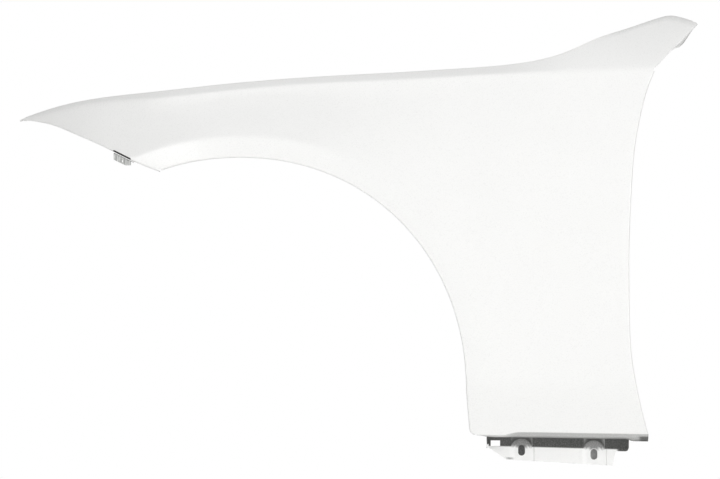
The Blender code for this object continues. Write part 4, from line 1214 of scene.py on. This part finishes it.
def two_coat_paint(name, roughness):
    """White over primer: the attribute spray_and_shade, broken up by noise, says how much white there is,
    with painted shade in a few places.
    """
    material = bpy.data.materials.new(name)
    material.use_nodes = True
    tree = material.node_tree
    shader = tree.nodes["Principled BSDF"]
    place = add_node(tree, "TexCoord").outputs["Object"]

    drift = add_node(tree, "TexNoise", values={"Scale": 9.0, "Detail": 2.0}, links={"Vector": place})
    white = add_node(tree, "ValToRGB", links={"Fac": drift.outputs["Fac"]})
    white.color_ramp.elements[0].color = linear("F2F2F1")
    white.color_ramp.elements[1].color = linear("F5F5F4")
    speckle = add_node(
        tree, "TexNoise", values={"Scale": 1 / OVERSPRAY_GRAIN, "Detail": 3.0}, links={"Vector": place}
    )
    primer = add_node(tree, "ValToRGB", links={"Fac": speckle.outputs["Fac"]})
    primer.color_ramp.elements[0].color = linear("2B2C2B")
    primer.color_ramp.elements[1].color = linear("464745")

    reach = add_node(tree, "Attribute", {"attribute_name": "spray_and_shade"}).outputs["Fac"]
    spread = {1: OVERSPRAY_SPREAD, 2: -OVERSPRAY_SPREAD / 2}
    dust = add_node(tree, "Math", {"operation": "MULTIPLY_ADD"}, spread, {0: speckle.outputs["Fac"]})
    clamped = {"operation": "ADD", "use_clamp": True}
    cover = add_node(tree, "Math", clamped, links={0: reach, 1: dust.outputs[0]})
    coat = add_node(
        tree,
        "Mix",
        {"data_type": "RGBA"},
        links={"Factor": cover.outputs[0], "A": primer.outputs["Color"], "B": white.outputs["Color"]},
    )
    tree.links.new(coat.outputs["Result"], shader.inputs["Base Color"])
    span = {"To Min": PRIMER_ROUGHNESS, "To Max": roughness}
    rough = add_node(tree, "MapRange", values=span, links={"Value": cover.outputs[0]})
    tree.links.new(rough.outputs["Result"], shader.inputs["Roughness"])

    waves = {"Scale": 1 / ORANGE_PEEL, "Detail": 1.0}
    peel = add_node(tree, "TexNoise", values=waves, links={"Vector": place})
    relief = {"Strength": PEEL_STRENGTH, "Distance": PEEL_DEPTH}
    bump = add_node(tree, "Bump", values=relief, links={"Height": peel.outputs["Fac"]})
    tree.links.new(bump.outputs["Normal"], shader.inputs["Normal"])
    shader.inputs["Coat Weight"].default_value = LACQUER
    shader.inputs["Coat Roughness"].default_value = LACQUER_ROUGHNESS
    return material


body_paint = two_coat_paint("gloss_white_car_paint", BODY_ROUGHNESS)
bracket_paint = two_coat_paint("white_overspray_on_bracket", BRACKET_ROUGHNESS)
panel.data.materials.clear()
panel.data.materials.append(body_paint)
bracket.data.materials.clear()
bracket.data.materials.append(bracket_paint)

# %% [markdown]
# ### Primer and sealer on the small angle
#
# The angle was brushed with grey primer before it was welded on, and the bead along the joint is
# black. One material does for both, because an attribute says which points lie on the bead.

# %% Grey primer on the bumper bracket
# Zinc-rich weld-through primer, brushed on by hand, and a bead of black seam sealer. The eye sees
# a flat light grey with short streaks, and over it one thin black line.
BEAD_BOTTOM = -0.0004
BEAD_EDGE = 0.0003
points, _ = points_and_normals(tab)
depth_under = dot(points - fold, under)[:, 0]
on_bead = 1 - ease(depth_under, BEAD_BOTTOM, BEAD_BOTTOM + BEAD_EDGE)
layer = tab.data.attributes.new("sealer", "FLOAT", "POINT")
layer.data.foreach_set("value", np.asarray(on_bead, np.float32))
grey_primer = bpy.data.materials.new("weld_through_primer")
grey_primer.use_nodes = True
tree = grey_primer.node_tree
shader = tree.nodes["Principled BSDF"]
place = add_node(tree, "TexCoord").outputs["Object"]
stretched = add_node(tree, "Mapping", values={"Scale": (420, 420, 60)}, links={"Vector": place})
streaks = {"Scale": 1.0, "Detail": 3.0}
streak = add_node(tree, "TexNoise", values=streaks, links={"Vector": stretched.outputs["Vector"]})
grey = add_node(tree, "ValToRGB", links={"Fac": streak.outputs["Fac"]})
grey.color_ramp.elements[0].position = 0.35
grey.color_ramp.elements[0].color = linear("A2A3A2")
grey.color_ramp.elements[1].position = 0.65
grey.color_ramp.elements[1].color = linear("E0E1DF")
masked = add_node(tree, "Attribute", {"attribute_name": "sealer"}).outputs["Fac"]
ends = {"Factor": masked, "A": grey.outputs["Color"]}
black = add_node(tree, "Mix", {"data_type": "RGBA"}, {"B": linear("0E0E0E")}, ends)
tree.links.new(black.outputs["Result"], shader.inputs["Base Color"])
shader.inputs["Roughness"].default_value = 0.5
tab.data.materials.clear()
tab.data.materials.append(grey_primer)

for piece, node, slot in (
    (panel, "fender_panel", "body_paint"),
    (bracket, "sill_bracket", "bracket_paint"),
    (tab, "bumper_bracket", "bracket_primer"),
):
    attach(piece, "root")
    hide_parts(node)
print("three pieces dressed")

# %% [markdown]
# ## Camera, light and floor
#
# The photograph was taken square on from far away with a long lens, so lines that run away from
# the viewer hardly shrink. Here the camera stands over 30 metres away. Its picture is 720 pixels
# wide, and at the fender each pixel is 1.6 mm.

# %% Camera
PIXEL = 0.0016
LENS_MM = 1000
SENSOR_MM = 36
PICTURE_WIDTH = 720
PICTURE_MIDDLE = (360, 239.5)
WHEEL_PIXEL = (240, 392)
view_width = PICTURE_WIDTH * PIXEL
across, down = np.subtract(PICTURE_MIDDLE, WHEEL_PIXEL)
aim = wheel_centre + [across * PIXEL, 0, -down * PIXEL]

camera = bpy.data.objects.new("camera", bpy.data.cameras.new("camera"))
bpy.context.scene.collection.objects.link(camera)
camera.data.lens = LENS_MM
camera.data.sensor_width = SENSOR_MM
camera.data.clip_end = 200
camera.location = aim + OUTBOARD * view_width * LENS_MM / SENSOR_MM
camera.rotation_euler = (math.pi / 2, 0, 0)
bpy.context.scene.camera = camera
print("camera stands", round(view_width * LENS_MM / SENSOR_MM, 2), "m away")

# %% [markdown]
# ### Soft light
#
# White paint shows its shape only by small steps of grey, so the lamps are large and soft. One
# wide box in front makes the faces that look straight out the brightest. Two smaller ones at
# the sides model the swept nose and the tuck above the sill, one overhead lights the shoulder
# band, and a weak one behind keeps the inside of the sheet from going black.

# %% Lamps
# name: place from the point the camera looks at, width and height in metres, and power in watts
SOFTBOXES = {
    "front_softbox": ((-1.0, -4.5, 0.7), 7.0, 7.0, 99),
    "left_softbox": ((-3.2, -3.6, 0.0), 3.0, 2.2, 55),
    "right_softbox": ((3.2, -3.6, 0.0), 3.0, 2.2, 84),
    "top_softbox": ((0.0, -0.5, 4.0), 4.0, 4.0, 35),
    "rear_softbox": ((0.6, 4.0, 1.6), 2.5, 2.5, 25),
}


def softbox(name, place, width, height, power):
    """An area lamp that looks at the fender and can't be seen itself."""
    lamp = bpy.data.lights.new(name, "AREA")
    lamp.shape = "RECTANGLE"
    lamp.size = width
    lamp.size_y = height
    lamp.energy = power
    made = bpy.data.objects.new(name, lamp)
    made.location = place
    made.rotation_mode = "QUATERNION"
    made.rotation_quaternion = (Vector(place) - Vector(aim)).to_track_quat("Z", "Y")
    made.visible_camera = False
    bpy.context.scene.collection.objects.link(made)


for name, (offset, width, height, power) in SOFTBOXES.items():
    softbox(name, aim + offset, width, height, power)
print(len(SOFTBOXES), "softboxes round the fender")

# %% [markdown]
# ### The white round the object
#
# The white background is only what the camera sees, so it adds no light: for every other ray the
# world is a dim grey. The floor is pale paper that keeps the shadow and fades into that white.

# %% World and floor
AMBIENT = 0.26
FADE_START = 0.7
FADE_END = 1.7
FLOOR_DROP = 0.90
FLOOR_HALF = 6.0

world = bpy.data.worlds.new("studio")
bpy.context.scene.world = world
world.use_nodes = True
tree = world.node_tree
sky = tree.nodes["Background"]
path = add_node(tree, "LightPath")
rays = {0: path.outputs["Is Camera Ray"], 1: path.outputs["Is Transmission Ray"]}
seen = add_node(tree, "Math", {"operation": "MAXIMUM"}, links=rays)
strengths = {"To Min": AMBIENT, "To Max": 1.0}
level = add_node(tree, "MapRange", values=strengths, links={"Value": seen.outputs[0]})
tree.links.new(level.outputs["Result"], sky.inputs["Strength"])
sky.inputs["Color"].default_value = (1, 1, 1, 1)

floor_z = wheel_centre[2] - FLOOR_DROP
signs = ((-1, -1), (1, -1), (1, 1), (-1, 1))
corners = [(across * FLOOR_HALF, along * FLOOR_HALF, floor_z) for across, along in signs]
floor_mesh = bpy.data.meshes.new("studio_floor")
floor_mesh.from_pydata(corners, [], [(0, 1, 2, 3)])
floor = bpy.data.objects.new("studio_floor", floor_mesh)
bpy.context.scene.collection.objects.link(floor)

paper = bpy.data.materials.new("pale_studio_paper")
paper.use_nodes = True
tree = paper.node_tree
shader = tree.nodes["Principled BSDF"]
shader.inputs["Base Color"].default_value = linear("EDEDEB")
shader.inputs["Roughness"].default_value = 0.9
place = add_node(tree, "TexCoord").outputs["Object"]
away = add_node(tree, "VectorMath", {"operation": "LENGTH"}, links={0: place})
smooth, reach = {"interpolation_type": "SMOOTHSTEP"}, {"From Min": FADE_START, "From Max": FADE_END}
fade = add_node(tree, "MapRange", smooth, reach, {"Value": away.outputs["Value"]})
path = add_node(tree, "LightPath")
factors = {0: fade.outputs["Result"], 1: path.outputs["Is Camera Ray"]}
bright = add_node(tree, "Math", {"operation": "MULTIPLY"}, links=factors)
glow = add_node(tree, "Emission", values={"Strength": 1.0})
blend = add_node(tree, "MixShader", links={0: bright.outputs[0], 1: shader.outputs[0], 2: glow.outputs[0]})
tree.links.new(blend.outputs[0], tree.nodes["Material Output"].inputs["Surface"])
floor_mesh.materials.append(paper)
floor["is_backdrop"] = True
print("floor at", round(float(floor_z), 3))

# %% [markdown]
# ## Measuring and finishing
#
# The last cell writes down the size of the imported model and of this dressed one, so that they
# can be compared, and hands the pieces over.

# %% Sizes and the end
bpy.context.scene.view_settings.view_transform = "Standard"
bpy.context.view_layer.update()
low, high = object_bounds()
print("dressed size:", [round(s, 4) for s in high - low])
